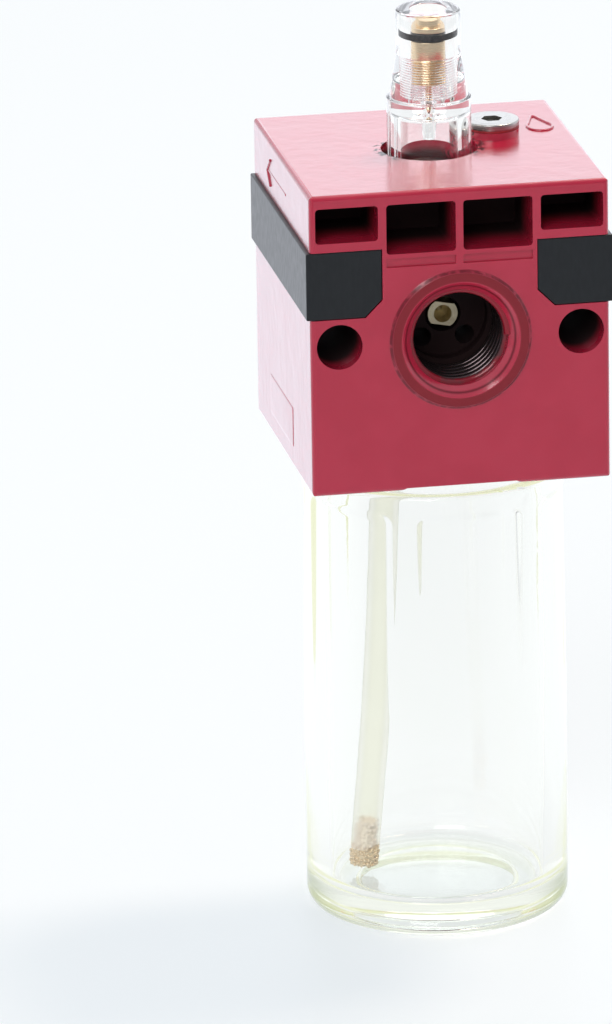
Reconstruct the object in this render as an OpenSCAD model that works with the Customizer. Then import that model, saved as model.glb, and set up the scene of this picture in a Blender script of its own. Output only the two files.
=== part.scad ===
// Mini air lubricator: a die-cast body with a clear sight dome on top and a clear oil bowl below.
// Millimetres. The origin is the middle of the bowl's foot and +Z is up.
// The inlet port faces -Y, the outlet port faces +Y, and the strips run along both sides.

/* [Body] */
// Width of the body from side face to side face
body_w = 40; // [39.6:0.2:46]
// Depth of the body from inlet face to outlet face
body_d = 40; // [38:0.5:48]
// Height of the body
body_h = 41; // [40.6:0.2:46]
// Radius of the body's painted edges
body_edge_r = 0.7; // [0.3:0.1:1]
// Height of the four corner pads under the body
pad_h = 0.4; // [0.2:0.1:0.8]
// Diameter of the turned circle that leaves the corner pads
pad_circle_d = 42.5; // [41:0.5:48]

/* [Ports] */
// Height of the port axis above the body's underside
port_height = 20.4; // [19.8:0.1:20.8]
// Major diameter of the quarter-inch pipe thread
port_thread_d = 13.16; // [11:0.02:13.3]
// Length of the threaded wall
port_thread_len = 9.5; // [7:0.5:10]
// Diameter of the smooth bore behind the thread
port_bore_d = 11.4; // [9:0.1:11.8]
// Depth of the port below the body's face
port_depth = 12; // [12:0.25:13]
// Height of the turned ring round each port
port_ring_h = 0.5; // [0.3:0.1:1]
// Outer diameter of the turned ring's flat
port_ring_d = 18.1; // [17:0.1:19]
// Diameter at which the port's mouth starts to narrow
port_mouth_d = 15.7; // [14:0.1:16.5]
// Width of the sloped skirt round the ring
port_skirt = 0.5; // [0.2:0.1:1]
// Diameter of the air bypass holes beside the jet
bypass_d = 2.6; // [1.5:0.1:2.8]
// Sideways place of the bypass holes from the port axis
bypass_x = 2.9; // [2.7:0.1:3]
// Drop of the bypass holes below the port axis
bypass_drop = 3; // [2.6:0.1:3.1]
// Diameter of the hole that lets air from the inlet into the bowl
bowl_air_d = 1.5; // [1:0.1:2]
// Distance of that hole in front of the wall between the ports
bowl_air_y = 3; // [2:0.25:4]

/* [Pockets] */
// Depth of the cored pockets in the two port faces
pocket_depth = 11.5; // [8:0.25:12]
// Thickness of the wall above the pockets
pocket_roof = 1.7; // [1.2:0.1:2]
// Width of each inner pocket
inner_pocket_w = 9.25; // [8:0.05:9.4]
// Height of the inner pockets
inner_pocket_h = 6.75; // [5:0.05:7]
// Height of the outer pockets
outer_pocket_h = 4.75; // [3.5:0.05:4.9]
// Thickness of the web between the two inner pockets
middle_web = 1; // [0.8:0.1:1.2]
// Thickness of the webs between inner and outer pockets
side_web = 1.1; // [0.9:0.1:1.3]
// Thickness of the wall between an outer pocket and the side face
pocket_side_wall = 0.8; // [0.6:0.1:1.5]
// Radius of the pockets' corners
pocket_corner_r = 0.5; // [0.2:0.1:1]
// Height of the shallow band under the inner pockets
band_h = 1.2; // [0.8:0.1:1.4]
// Depth of the shallow band
band_depth = 0.35; // [0.2:0.05:0.6]
// Wall between the inner pockets and the band
band_gap = 0.6; // [0.5:0.1:0.8]

/* [Side strips] */
// Height of the black strips
strip_h = 9.1; // [8:0.1:9.3]
// How deep the strips lie in the body
strip_w = 9.6; // [8.5:0.1:9.7]
// How far the strips stand out of the side faces
strip_proud = 0.5; // [0.2:0.1:1]
// Distance from the body's top to the strips
strip_drop = 7.7; // [7.5:0.1:7.8]
// Chamfer of the strips' lower inner edge
strip_chamfer = 2.3; // [1.5:0.1:3]
// Gap between a strip and its slot
strip_gap = 0.06; // [0.02:0.01:0.1]

/* [Tie-rod holes] */
// Diameter of the two tie-rod holes
tie_hole_d = 6.1; // [5:0.1:6.2]
// Distance between the two tie-rod holes
tie_spacing = 32.3; // [31:0.1:32.6]

/* [Bowl] */
// Outer diameter of the bowl
bowl_d = 35.2; // [34.4:0.2:38]
// Height of the bowl from its foot to its shoulder
bowl_h = 62; // [55:1:80]
// Gap between the bowl's shoulder and the body
bowl_gap = 2; // [1:0.25:2.5]
// Outer diameter of the bowl's threaded neck
neck_d = 32.2; // [31.6:0.1:33]
// Length of the neck above the shoulder
neck_len = 11.5; // [10:0.25:12]
// Inner diameter of the bowl
bowl_bore_d = 29; // [27:0.25:29.5]
// Thickness of the bowl's floor over the foot
bowl_floor = 4; // [3:0.25:6]
// Outer radius of the bowl's lower corner
bowl_corner_r = 3; // [2:0.25:4]
// Inner radius between the bowl's floor and wall
bowl_floor_r = 2; // [1:0.25:3]
// Radius of the bowl's shoulder
bowl_shoulder_r = 1; // [0.4:0.1:1.1]
// Diameter of the hollow under the foot
foot_hollow_d = 22; // [16:0.5:24]
// Depth of the hollow under the foot
foot_hollow_h = 1.5; // [0.5:0.25:2]
// Number of grip flutes round the bowl
flute_count = 6; // [4:1:7]
// Width of each flute
flute_w = 14.6; // [9:0.2:14.8]
// Depth of the flutes at their tops
flute_depth = 0.4; // [0.2:0.1:1]
// Length over which the flutes run out
flute_len = 28; // [15:1:35]
// Distance from the shoulder to the tops of the flutes
flute_drop = 2.3; // [1.5:0.1:5]
// Corner radius of the flutes' tops
flute_corner_r = 2; // [1:0.25:3]
// Angle of the first flute from +X
flute_angle = -84; // [-90:0.5:0]

/* [Bowl seal] */
// Section diameter of the O-ring above the bowl's neck
bowl_seal_d = 1.8; // [1.5:0.1:2]
// Room left round the O-ring
seal_room = 0.05; // [0.03:0.01:0.1]
// Depth of the gland that keeps the O-ring in the body
gland_depth = 0.35; // [0.2:0.05:0.5]

/* [Siphon] */
// Distance of the siphon's upper end from the axis
siphon_x = 6.4; // [5.9:0.1:6.4]
// Outer diameter of the siphon tube
tube_d = 3.9; // [3.2:0.1:4.5]
// Inner diameter of the siphon tube
tube_bore_d = 2.4; // [2:0.1:2.6]
// Radius of the slight curve that the tube has from its coil
tube_curve_r = 640; // [560:10:2000]
// Direction in which the tube curves away, from +X
tube_curve_dir = 165; // [120:1:240]
// Length of the nipple that the tube is pushed on
nipple_len = 5; // [3:0.25:7]
// Gap between the nipple and the tube, which the barbs fill
nipple_gap = 0.15; // [0.1:0.05:0.2]
// Diameter of the connector's flange under the body's roof
flange_d = 6; // [5.6:0.1:7]
// Thickness of the connector's flange
flange_t = 1; // [0.6:0.1:1.5]
// Diameter of the connector's shank in the body
connector_d = 5; // [4:0.1:5.2]
// Length of the connector's shank in the body
connector_len = 3; // [2:0.1:3.2]
// Diameter of the oil way through the connector
connector_bore_d = 1.2; // [0.8:0.1:1.4]
// Length of the filter below the tube
filter_len = 2.5; // [1.5:0.1:4]
// Length of the filter's spigot in the tube
spigot_len = 4; // [2:0.25:6]
// Height of the filter above the bowl's floor
filter_clear = 1.2; // [1:0.1:5]
// Diameter of the check ball
ball_d = 2; // [1.6:0.1:2.1]
// Lift of the check ball
ball_lift = 0.8; // [0.4:0.1:1]
// Width of the ring of room round the check ball
ball_room = 0.3; // [0.2:0.05:0.35]
// Diameter of the oil riser from the ball to the dome
riser_d = 1.2; // [0.8:0.1:1.3]
// Distance of the oil riser from the axis
riser_x = 5.2; // [5:0.1:5.3]

/* [Sight dome] */
// Height of the dome above the body
dome_h = 19.1; // [18.6:0.1:24]
// Diameter of the dome's top
dome_top_d = 8.6; // [7.5:0.1:9]
// Length of the dome's straight top
dome_top_len = 6; // [4:0.25:7]
// Diameter of the cone's lower end
dome_cone_d = 10.5; // [9.5:0.1:11]
// Height of the ledge above the body
dome_ledge_h = 7.2; // [7:0.1:9]
// Diameter of the dome's foot
dome_foot_d = 11.24; // [11.1:0.02:11.6]
// Depth of the dome's seat below the body's top
dome_seat_depth = 7.4; // [6.6:0.1:7.6]
// Radius of the dome's top edge
dome_edge_r = 0.35; // [0.1:0.05:0.6]
// Diameter of the drip chamber
chamber_d = 7.5; // [6.5:0.1:7.8]
// Height of the drip chamber's ceiling above the body
chamber_top_h = 4.9; // [4.6:0.1:5]
// Thickness of the partition above the drip chamber
partition_t = 1.5; // [1.2:0.1:1.6]
// Length of the drip spout
spout_len = 3.4; // [1:0.1:4]
// Outer diameter of the drip spout at its root
spout_d = 2.2; // [1.8:0.1:2.6]
// Thickness of the drip spout's wall at its tip
spout_tip_wall = 0.3; // [0.2:0.05:0.4]
// Diameter of the oil way in the dome's wall
dome_way_d = 0.9; // [0.6:0.1:1]
// Distance of that oil way from the axis
dome_way_x = 4.7; // [4.6:0.05:4.8]
// Diameter of the cross hole from that oil way to the needle
dome_cross_d = 0.7; // [0.5:0.1:0.8]
// Diameter of the recess in the body round the dome
recess_d = 12.9; // [12.7:0.1:13.2]
// Depth of that recess
recess_depth = 2.9; // [2:0.1:3.2]
// Gap between the dome's foot and its seat
dome_gap = 0.02; // [0.01:0.01:0.05]
// Diameter of the drip passage down to the jet
drip_d = 2; // [1.4:0.1:2.4]

/* [Adjusting screw] */
// Diameter of the dome's smooth upper bore
screw_bore_d = 4.8; // [4.7:0.02:5]
// Gap between the screw and the dome's bore
screw_gap = 0.05; // [0.02:0.01:0.08]
// Diameter of the screw's thread
screw_thread_d = 4.6; // [4.4:0.02:4.68]
// Length of the screw's thread
screw_thread_len = 3.5; // [2.5:0.1:4]
// Length of the plain shank between the thread and the O-ring groove
screw_shank_len = 2.5; // [1.5:0.1:3]
// Height of the O-ring groove
groove_h = 1.2; // [1.15:0.05:1.4]
// Diameter of the groove's floor
groove_d = 2.56; // [2.5:0.02:2.8]
// Thickness of the collar above the groove
collar_t = 0.65; // [0.4:0.05:0.8]
// Diameter of the screw's head
screw_head_d = 3.36; // [3:0.02:3.8]
// Height of the screw's head
screw_head_h = 0.9; // [0.7:0.05:1.2]
// Width of the screwdriver slot
screw_slot_w = 0.6; // [0.4:0.05:0.8]
// Depth of the screwdriver slot
screw_slot_h = 0.55; // [0.3:0.05:0.6]
// Depth of the head's top below the dome's top
screw_sunk = 1.3; // [1.25:0.05:2]
// Diameter of the needle
needle_d = 0.9; // [0.7:0.05:0.95]
// Gap between the needle and its hole
needle_gap = 0.1; // [0.05:0.01:0.15]
// Height of the needle's tip above the partition's underside
needle_rise = 0.1; // [0.05:0.05:0.5]

/* [Fill plug] */
// Place of the fill plug along X
plug_x = 9.4; // [9.2:0.1:9.6]
// Place of the fill plug along Y
plug_y = 4.7; // [4.5:0.1:4.9]
// Diameter of the fill plug's head and its boss
plug_d = 7.26; // [6.6:0.02:7.6]
// Thickness of the plug's head
plug_head_t = 0.85; // [0.7:0.05:1.5]
// Chamfer of the plug's upper edge
plug_edge = 0.15; // [0.05:0.05:0.3]
// Height of the boss under the plug
plug_boss_h = 0.94; // [0.5:0.02:1.5]
// Diameter of the plug's thread
plug_thread_d = 4.9; // [4:0.05:5]
// Length of the plug's thread
plug_thread_len = 5.5; // [4:0.25:6]
// Depth of the plug's hole below the body's top
plug_hole_depth = 5.4; // [5.2:0.1:5.8]
// Width across the flats of the hex socket
plug_hex = 2.5; // [2:0.5:3]
// Depth of the hex socket
plug_hex_depth = 1.6; // [1:0.1:2]
// Thickness of the washer under the plug's head
washer_t = 0.3; // [0.2:0.05:0.5]
// Gap between the plug and the parts round it
plug_gap = 0.05; // [0.02:0.01:0.08]
// Diameter of the oil way from the plug to the bowl
fill_way_d = 2.4; // [1.6:0.1:2.6]
// Shift of that oil way towards the axis
fill_way_shift = 0.9; // [0.8:0.1:1]

/* [Jet] */
// Diameter of the jet's head
jet_d = 4; // [3.4:0.1:4.4]
// Width across the jet's two flats
jet_flats = 3.05; // [2.6:0.05:3.3]
// Turn of the jet's flats away from level
jet_turn = 11; // [0:1:90]
// Length of the jet's head
jet_head_len = 3; // [2:0.1:4]
// Diameter of the jet's shank
jet_shank_d = 3.2; // [2.8:0.1:3.3]
// Length of the jet's shank
jet_shank_len = 8; // [6:0.25:9]
// Diameter of the jet's mouth
jet_mouth_d = 2.4; // [1.8:0.1:2.5]
// Depth of the jet's mouth
jet_mouth_depth = 2.4; // [1:0.1:4]
// Diameter of the jet's throat
jet_throat_d = 1; // [0.6:0.1:1.4]
// Diameter of the jet's oil hole
jet_oil_d = 0.8; // [0.5:0.1:1]
// Diameter of the counterbore round the jet's head
jet_counterbore_d = 4.8; // [4.6:0.1:5.2]

/* [Hidden] */
$fn = 96;
// Overlap that makes a cut break cleanly through a face
cut = 0.5;
// Gap that keeps pieces that move past each other apart
run_gap = 0.05;
// Gap at a face that only just touches
touch_gap = 0.02;

body_bottom = bowl_h + bowl_gap;
body_top = body_bottom + body_h;
body_mid_z = body_bottom + body_h / 2;
port_z = body_bottom + port_height;
web_y = body_d / 2 - port_depth;
port_face_y = body_d / 2 + port_ring_h;
port_chamfer = (port_mouth_d - port_thread_d) / 2;

neck_top = bowl_h + neck_len;
gland_h = bowl_seal_d + 2 * seal_room;
gland_r = neck_d / 2 + run_gap + gland_depth;
bowl_seal_r = gland_r - seal_room - bowl_seal_d / 2;
roof_z = neck_top + gland_h;
flute_top_z = bowl_h - flute_drop;
flute_rise = flute_depth / flute_len;
flute_foot_z = flute_top_z - (flute_depth + cut) / flute_rise;
flute_root = 3;

inner_pocket_x = middle_web / 2;
outer_pocket_x = inner_pocket_x + inner_pocket_w + side_web;
outer_pocket_w = body_w / 2 - pocket_side_wall - outer_pocket_x;
pocket_top_z = body_top - pocket_roof;
band_top_z = pocket_top_z - inner_pocket_h - band_gap;
strip_inner_x = body_w / 2 - strip_w;
strip_top_z = body_top - strip_drop;

connector_top_z = roof_z + connector_len;
tube_top_z = roof_z - flange_t;
tube_drop = tube_top_z - bowl_floor - filter_clear - filter_len;
tube_arc = asin(tube_drop / tube_curve_r);
seat_margin = 0.1;
seat_r = ball_d / 2 + seat_margin;
ball_z = connector_top_z - seat_r + ball_d / 2 * sqrt(2) + touch_gap;
ball_chamber_top = ball_z + ball_d / 2 + ball_lift + touch_gap;

dome_seat_z = body_top - dome_seat_depth;
dome_top_z = body_top + dome_h;
dome_step_z = dome_top_z - dome_top_len;
dome_ledge_z = body_top + dome_ledge_h;
chamber_top_z = body_top + chamber_top_h;
partition_top_z = chamber_top_z + partition_t;
recess_floor_z = body_top - recess_depth;
dome_bore_d = dome_foot_d + 2 * dome_gap;
dome_seal_d = (recess_d - dome_foot_d) / 2 - 2 * touch_gap;

screw_top_z = dome_top_z - screw_sunk;
collar_top_z = screw_top_z - screw_head_h;
groove_top_z = collar_top_z - collar_t;
groove_bottom_z = groove_top_z - groove_h;
thread_top_z = groove_bottom_z - screw_shank_len;
thread_bottom_z = thread_top_z - screw_thread_len;
needle_tip_z = chamber_top_z + needle_rise;
needle_hole_d = needle_d + 2 * needle_gap;
screw_shank_d = screw_bore_d - 4 * screw_gap;
screw_thread_bore_d = screw_thread_d + 2 * screw_gap;
screw_seal_d = (screw_bore_d - groove_d) / 2 - 2 * touch_gap;
screw_seal_r = (screw_bore_d + groove_d) / 4;

plug_boss_z = body_top + plug_boss_h;
washer_z = plug_boss_z + touch_gap / 2;
plug_head_z = washer_z + washer_t + touch_gap / 2;
plug_hole_d = plug_thread_d + 2 * plug_gap;
fill_way_x = plug_x - fill_way_shift;

paint_red = [0.62, 0.09, 0.16];
strip_black = [0.13, 0.14, 0.15];
clear_plastic = [0.93, 0.95, 0.90, 0.35];
rubber_black = [0.05, 0.05, 0.05];
fibre_red = [0.55, 0.12, 0.14];
brass = [0.80, 0.66, 0.38];
nickel = [0.78, 0.78, 0.77];
tube_clear = [0.94, 0.95, 0.88, 0.7];
bronze = [0.66, 0.52, 0.33];

// Turns a shape that stands along Z so that it runs along +Y
module along_y() {
    rotate([-90, 0, 0]) children();
}

// Repeats a shape on the inlet face and, turned half round, on the outlet face
module on_both_faces() {
    for (turn = [0, 180]) rotate([0, 0, turn]) children();
}

// Repeats a shape on the right side and mirrored on the left side
module on_both_sides() {
    children();
    mirror([1, 0, 0]) children();
}

// Rectangle with true round corners, its lower left corner at the origin
module rounded_rect(w, h, r) {
    translate([r, 0]) square([w - 2 * r, h]);
    translate([0, r]) square([w, h - 2 * r]);
    for (x = [r, w - r], y = [r, h - r]) translate([x, y]) circle(r);
}

// Block with its edges rounded along all three directions, centred on the origin
module rounded_block(w, d, h, r) {
    intersection() {
        translate([-w / 2, -d / 2, -h / 2]) linear_extrude(h) rounded_rect(w, d, r);
        translate([-w / 2, d / 2, -h / 2]) rotate([90, 0, 0]) linear_extrude(d) rounded_rect(w, h, r);
        translate([-w / 2, -d / 2, -h / 2]) rotate([90, 0, 90]) linear_extrude(w) rounded_rect(d, h, r);
    }
}

// O-ring lying flat, centred on the origin
module o_ring(ring_r, section_d) {
    rotate_extrude() translate([ring_r, 0]) circle(d = section_d, $fn = 48);
}

// One cored pocket in the inlet face, hanging from the pockets' common top with its left edge at x
module pocket(x, w, h) {
    translate([x, pocket_depth - body_d / 2, pocket_top_z - h]) rotate([90, 0, 0])
        linear_extrude(pocket_depth + cut) rounded_rect(w, h, pocket_corner_r);
}

// The four pockets of one face and the shallow band under the inner two
module face_pockets() {
    on_both_sides() {
        pocket(inner_pocket_x, inner_pocket_w, inner_pocket_h);
        pocket(outer_pocket_x, outer_pocket_w, outer_pocket_h);
        translate([inner_pocket_x, -body_d / 2 - cut, band_top_z - band_h])
            cube([inner_pocket_w, band_depth + cut, band_h]);
    }
}

// The turned ring that stands round a port
module port_ring() {
    translate([0, -port_face_y, port_z]) along_y() {
        cylinder(d1 = port_ring_d, d2 = port_ring_d + 2 * port_skirt, h = port_ring_h);
        translate([0, 0, port_ring_h]) cylinder(d = port_ring_d + 2 * port_skirt, h = body_edge_r);
    }
}

// The port's mouth, thread and smooth bore
module port_bore() {
    translate([0, -port_face_y, port_z]) along_y() {
        translate([0, 0, -cut]) cylinder(d = port_mouth_d, h = cut);
        cylinder(d1 = port_mouth_d, d2 = port_thread_d, h = port_chamfer);
        cylinder(d = port_thread_d, h = port_chamfer + port_thread_len);
        cylinder(d = port_bore_d, h = port_depth + port_ring_h);
    }
}

// The air ways through the wall between the two ports
module web_ways() {
    translate([0, -web_y, port_z]) along_y() {
        translate([0, 0, -cut]) cylinder(d = jet_counterbore_d, h = jet_head_len + cut);
        cylinder(d = jet_shank_d, h = 2 * web_y + cut);
        on_both_sides() translate([bypass_x, bypass_drop, -cut])
            cylinder(d = bypass_d, h = 2 * web_y + 2 * cut);
    }
    translate([0, -web_y - bowl_air_y, roof_z - cut]) cylinder(d = bowl_air_d, h = port_z - roof_z);
}

// The oil ways: bowl bore, seal gland, connector, ball chamber, riser, drip passage and fill way
module oil_ways() {
    translate([0, 0, body_bottom - cut]) cylinder(d = pad_circle_d, h = pad_h + cut);
    translate([0, 0, body_bottom - cut])
        cylinder(d = neck_d + 2 * run_gap, h = roof_z - body_bottom + cut);
    translate([0, 0, neck_top]) cylinder(r = gland_r, h = gland_h);
    translate([-siphon_x, 0, roof_z - cut]) cylinder(d = connector_d, h = connector_len + cut);
    translate([-siphon_x, 0, roof_z]) cylinder(d = ball_d + 2 * ball_room, h = ball_chamber_top - roof_z);
    translate([-riser_x, 0, ball_z]) cylinder(d = riser_d, h = dome_seat_z - ball_z + cut);
    translate([0, 0, port_z]) cylinder(d = drip_d, h = dome_seat_z - port_z + cut);
    translate([fill_way_x, plug_y, roof_z - cut])
        cylinder(d = fill_way_d, h = body_top - plug_hole_depth - roof_z + 2 * cut);
}

// The dome's recess and seat, and the fill plug's hole
module top_seats() {
    translate([0, 0, dome_seat_z]) cylinder(d = dome_bore_d, h = dome_seat_depth + cut);
    translate([0, 0, recess_floor_z]) cylinder(d = recess_d, h = recess_depth + cut);
    translate([plug_x, plug_y, body_top - plug_hole_depth])
        cylinder(d = plug_hole_d, h = plug_hole_depth + plug_boss_h + cut);
}

// Outline of the right strip's end, grown by a gap to make its slot
module strip_outline(gap) {
    x0 = strip_inner_x - gap;
    x1 = body_w / 2 + strip_proud + gap;
    z0 = strip_top_z - strip_h - gap;
    z1 = strip_top_z + gap;
    polygon([[x0, z1], [x1, z1], [x1, z0], [x0 + strip_chamfer, z0], [x0, z0 + strip_chamfer]]);
}

// Bar with the strip's outline, running from the inlet face to the outlet face
module strip_bar(gap, len) {
    translate([0, len / 2, 0]) rotate([90, 0, 0]) linear_extrude(len) strip_outline(gap);
}

module body() {
    color(paint_red) difference() {
        union() {
            translate([0, 0, body_mid_z]) rounded_block(body_w, body_d, body_h, body_edge_r);
            on_both_faces() port_ring();
            translate([plug_x, plug_y, body_top - body_edge_r])
                cylinder(d = plug_d, h = plug_boss_h + body_edge_r);
        }
        on_both_faces() {
            face_pockets();
            port_bore();
        }
        web_ways();
        oil_ways();
        top_seats();
        on_both_sides() {
            strip_bar(strip_gap, body_d + 2 * cut);
            translate([tie_spacing / 2, -body_d / 2 - cut, port_z]) along_y()
                cylinder(d = tie_hole_d, h = body_d + 2 * cut);
        }
    }
}

module right_strip() {
    color(strip_black) strip_bar(0, body_d);
}

module left_strip() {
    color(strip_black) mirror([1, 0, 0]) strip_bar(0, body_d);
}

// Half section of the dome's outside
module dome_outside() {
    polygon([
        [0, dome_seat_z], [dome_foot_d / 2, dome_seat_z], [dome_foot_d / 2, dome_ledge_z],
        [dome_cone_d / 2, dome_ledge_z], [dome_top_d / 2, dome_step_z], [0, dome_step_z]
    ]);
    translate([0, dome_step_z]) square([dome_top_d / 2 - dome_edge_r, dome_top_len]);
    translate([0, dome_step_z]) square([dome_top_d / 2, dome_top_len - dome_edge_r]);
    translate([dome_top_d / 2 - dome_edge_r, dome_top_z - dome_edge_r]) circle(dome_edge_r, $fn = 48);
}

module sight_dome() {
    color(clear_plastic) difference() {
        union() {
            difference() {
                rotate_extrude() dome_outside();
                translate([0, 0, dome_seat_z - cut])
                    cylinder(d = chamber_d, h = chamber_top_z - dome_seat_z + cut);
            }
            translate([0, 0, chamber_top_z - spout_len])
                cylinder(d1 = needle_hole_d + 2 * spout_tip_wall, d2 = spout_d, h = spout_len);
        }
        translate([0, 0, chamber_top_z - spout_len - cut])
            cylinder(d = needle_hole_d, h = spout_len + partition_t + 2 * cut);
        translate([0, 0, partition_top_z])
            cylinder(d = screw_thread_bore_d, h = dome_top_z - partition_top_z);
        translate([0, 0, thread_top_z]) cylinder(d = screw_bore_d, h = dome_top_z - thread_top_z + cut);
        translate([-dome_way_x, 0, dome_seat_z - cut])
            cylinder(d = dome_way_d, h = partition_top_z + dome_way_d / 2 - dome_seat_z + cut);
        translate([-dome_way_x, 0, partition_top_z + dome_way_d / 2]) rotate([0, 90, 0])
            cylinder(d = dome_cross_d, h = dome_way_x - screw_thread_bore_d / 4);
    }
}

module dome_seal() {
    color(rubber_black) translate([0, 0, recess_floor_z + dome_seal_d / 2])
        o_ring((recess_d + dome_foot_d) / 4, dome_seal_d);
}

module adjusting_screw() {
    color(brass) difference() {
        union() {
            translate([0, 0, collar_top_z]) cylinder(d = screw_head_d, h = screw_head_h);
            translate([0, 0, groove_top_z]) cylinder(d = screw_shank_d, h = collar_t);
            translate([0, 0, groove_bottom_z]) cylinder(d = groove_d, h = groove_h);
            translate([0, 0, thread_top_z]) cylinder(d = screw_shank_d, h = screw_shank_len);
            translate([0, 0, thread_bottom_z]) cylinder(d = screw_thread_d, h = screw_thread_len);
            translate([0, 0, needle_tip_z + needle_d])
                cylinder(d = needle_d, h = thread_bottom_z - needle_tip_z - needle_d);
            translate([0, 0, needle_tip_z]) cylinder(d1 = needle_d / 4, d2 = needle_d, h = needle_d);
        }
        translate([-screw_head_d, -screw_slot_w / 2, screw_top_z - screw_slot_h])
            cube([2 * screw_head_d, screw_slot_w, screw_slot_h + cut]);
    }
}

module adjusting_screw_seal() {
    color(rubber_black) translate([0, 0, (groove_top_z + groove_bottom_z) / 2])
        o_ring(screw_seal_r, screw_seal_d);
}

module fill_plug() {
    hex_r = plug_hex / 2 / cos(30);
    color(nickel) translate([plug_x, plug_y, plug_head_z]) difference() {
        union() {
            cylinder(d = plug_d, h = plug_head_t - plug_edge);
            translate([0, 0, plug_head_t - plug_edge])
                cylinder(d1 = plug_d, d2 = plug_d - 2 * plug_edge, h = plug_edge);
            translate([0, 0, -plug_thread_len]) cylinder(d = plug_thread_d, h = plug_thread_len);
        }
        translate([0, 0, plug_head_t - plug_hex_depth])
            cylinder(r = hex_r, h = plug_hex_depth + cut, $fn = 6);
    }
}

module fill_plug_seal() {
    color(fibre_red) translate([plug_x, plug_y, washer_z]) difference() {
        cylinder(d = plug_d, h = washer_t);
        translate([0, 0, -cut]) cylinder(d = plug_hole_d, h = washer_t + 2 * cut);
    }
}

module inlet_jet() {
    cone_h = (jet_mouth_d - jet_throat_d) / 2;
    jet_len = jet_head_len + jet_shank_len;
    color(brass) translate([0, -web_y, port_z]) along_y() difference() {
        union() {
            difference() {
                cylinder(d = jet_d, h = jet_head_len);
                for (turn = [jet_turn, jet_turn + 180]) rotate([0, 0, turn])
                    translate([-jet_d, jet_flats / 2, -cut]) cube([2 * jet_d, jet_d, jet_head_len + cut]);
            }
            translate([0, 0, jet_head_len]) cylinder(d = jet_shank_d - 2 * touch_gap, h = jet_shank_len);
        }
        translate([0, 0, -cut]) cylinder(d = jet_mouth_d, h = jet_mouth_depth + cut);
        translate([0, 0, jet_mouth_depth]) cylinder(d1 = jet_mouth_d, d2 = jet_throat_d, h = cone_h);
        translate([0, 0, -cut]) cylinder(d = jet_throat_d, h = jet_len + 2 * cut);
        translate([0, 0, web_y]) rotate([90, 0, 0]) cylinder(d = jet_oil_d, h = jet_shank_d);
    }
}

module tube_connector() {
    nipple_r = tube_bore_d / 2 - nipple_gap;
    barb_r = tube_bore_d / 2 - 2 * touch_gap;
    barb_h = nipple_len / 4;
    seat_depth = seat_r - connector_bore_d / 2;
    color(brass) translate([-siphon_x, 0, roof_z]) difference() {
        union() {
            cylinder(d = connector_d, h = connector_len);
            translate([0, 0, -flange_t]) cylinder(d = flange_d, h = flange_t);
            translate([0, 0, -flange_t - nipple_len]) cylinder(r = nipple_r, h = nipple_len + flange_t);
            for (i = [0 : 1]) translate([0, 0, -flange_t - nipple_len + i * 2 * barb_h])
                cylinder(r1 = nipple_r, r2 = barb_r, h = barb_h);
        }
        translate([0, 0, -flange_t - nipple_len - cut])
            cylinder(d = connector_bore_d, h = flange_t + nipple_len + connector_len + 2 * cut);
        translate([0, 0, connector_len - seat_depth])
            cylinder(r1 = connector_bore_d / 2, r2 = seat_r, h = seat_depth);
    }
}

module check_ball() {
    color(nickel) translate([-siphon_x, 0, ball_z]) sphere(d = ball_d);
}

// Sweeps a section along the siphon's run, which starts straight down from the connector
module siphon_run() {
    translate([-siphon_x, 0, tube_top_z]) rotate([0, 0, tube_curve_dir]) translate([tube_curve_r, 0, 0])
        rotate([-90, 0, 180]) rotate_extrude(angle = tube_arc, $fn = 720)
            translate([tube_curve_r, 0]) children();
}

// Places a shape at the tube's lower end, with -Z running on along the tube
module at_tube_end() {
    translate([-siphon_x, 0, tube_top_z]) rotate([0, 0, tube_curve_dir])
        translate([tube_curve_r * (1 - cos(tube_arc)), 0, -tube_drop]) rotate([0, -tube_arc, 0]) children();
}

module siphon_tube() {
    color(tube_clear) siphon_run() difference() {
        circle(d = tube_d);
        circle(d = tube_bore_d);
    }
}

module tube_filter() {
    spigot_d = tube_bore_d - 4 * touch_gap;
    color(bronze) at_tube_end() translate([0, 0, -filter_len]) {
        cylinder(d = tube_d, h = filter_len);
        cylinder(d = spigot_d, h = filter_len + spigot_len);
    }
}

// Half section of the bowl's outside, with its neck
module bowl_outside() {
    r = bowl_d / 2;
    square([r - bowl_corner_r, bowl_h]);
    translate([r - bowl_corner_r, bowl_corner_r]) circle(bowl_corner_r);
    translate([0, bowl_corner_r]) {
        square([r, bowl_h - bowl_corner_r - bowl_shoulder_r]);
        square([r - bowl_shoulder_r, bowl_h - bowl_corner_r]);
        square([neck_d / 2, neck_top - bowl_corner_r]);
    }
    translate([r - bowl_shoulder_r, bowl_h - bowl_shoulder_r]) circle(bowl_shoulder_r);
}

// Half section of the bowl's inside and of the hollow under its foot
module bowl_inside() {
    r = bowl_bore_d / 2;
    translate([0, bowl_floor]) square([r - bowl_floor_r, neck_top]);
    translate([0, bowl_floor + bowl_floor_r]) square([r, neck_top]);
    translate([r - bowl_floor_r, bowl_floor + bowl_floor_r]) circle(bowl_floor_r);
    translate([0, -cut]) square([foot_hollow_d / 2, foot_hollow_h + cut]);
}

// Outline of one flute, with round upper corners and an open lower end
module flute_outline() {
    r = flute_corner_r;
    translate([-flute_w / 2, flute_foot_z]) square([flute_w, flute_top_z - flute_foot_z - r]);
    translate([r - flute_w / 2, flute_foot_z]) square([flute_w - 2 * r, flute_top_z - flute_foot_z]);
    for (side = [-1, 1]) translate([side * (flute_w / 2 - r), flute_top_z - r]) circle(r);
}

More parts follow.
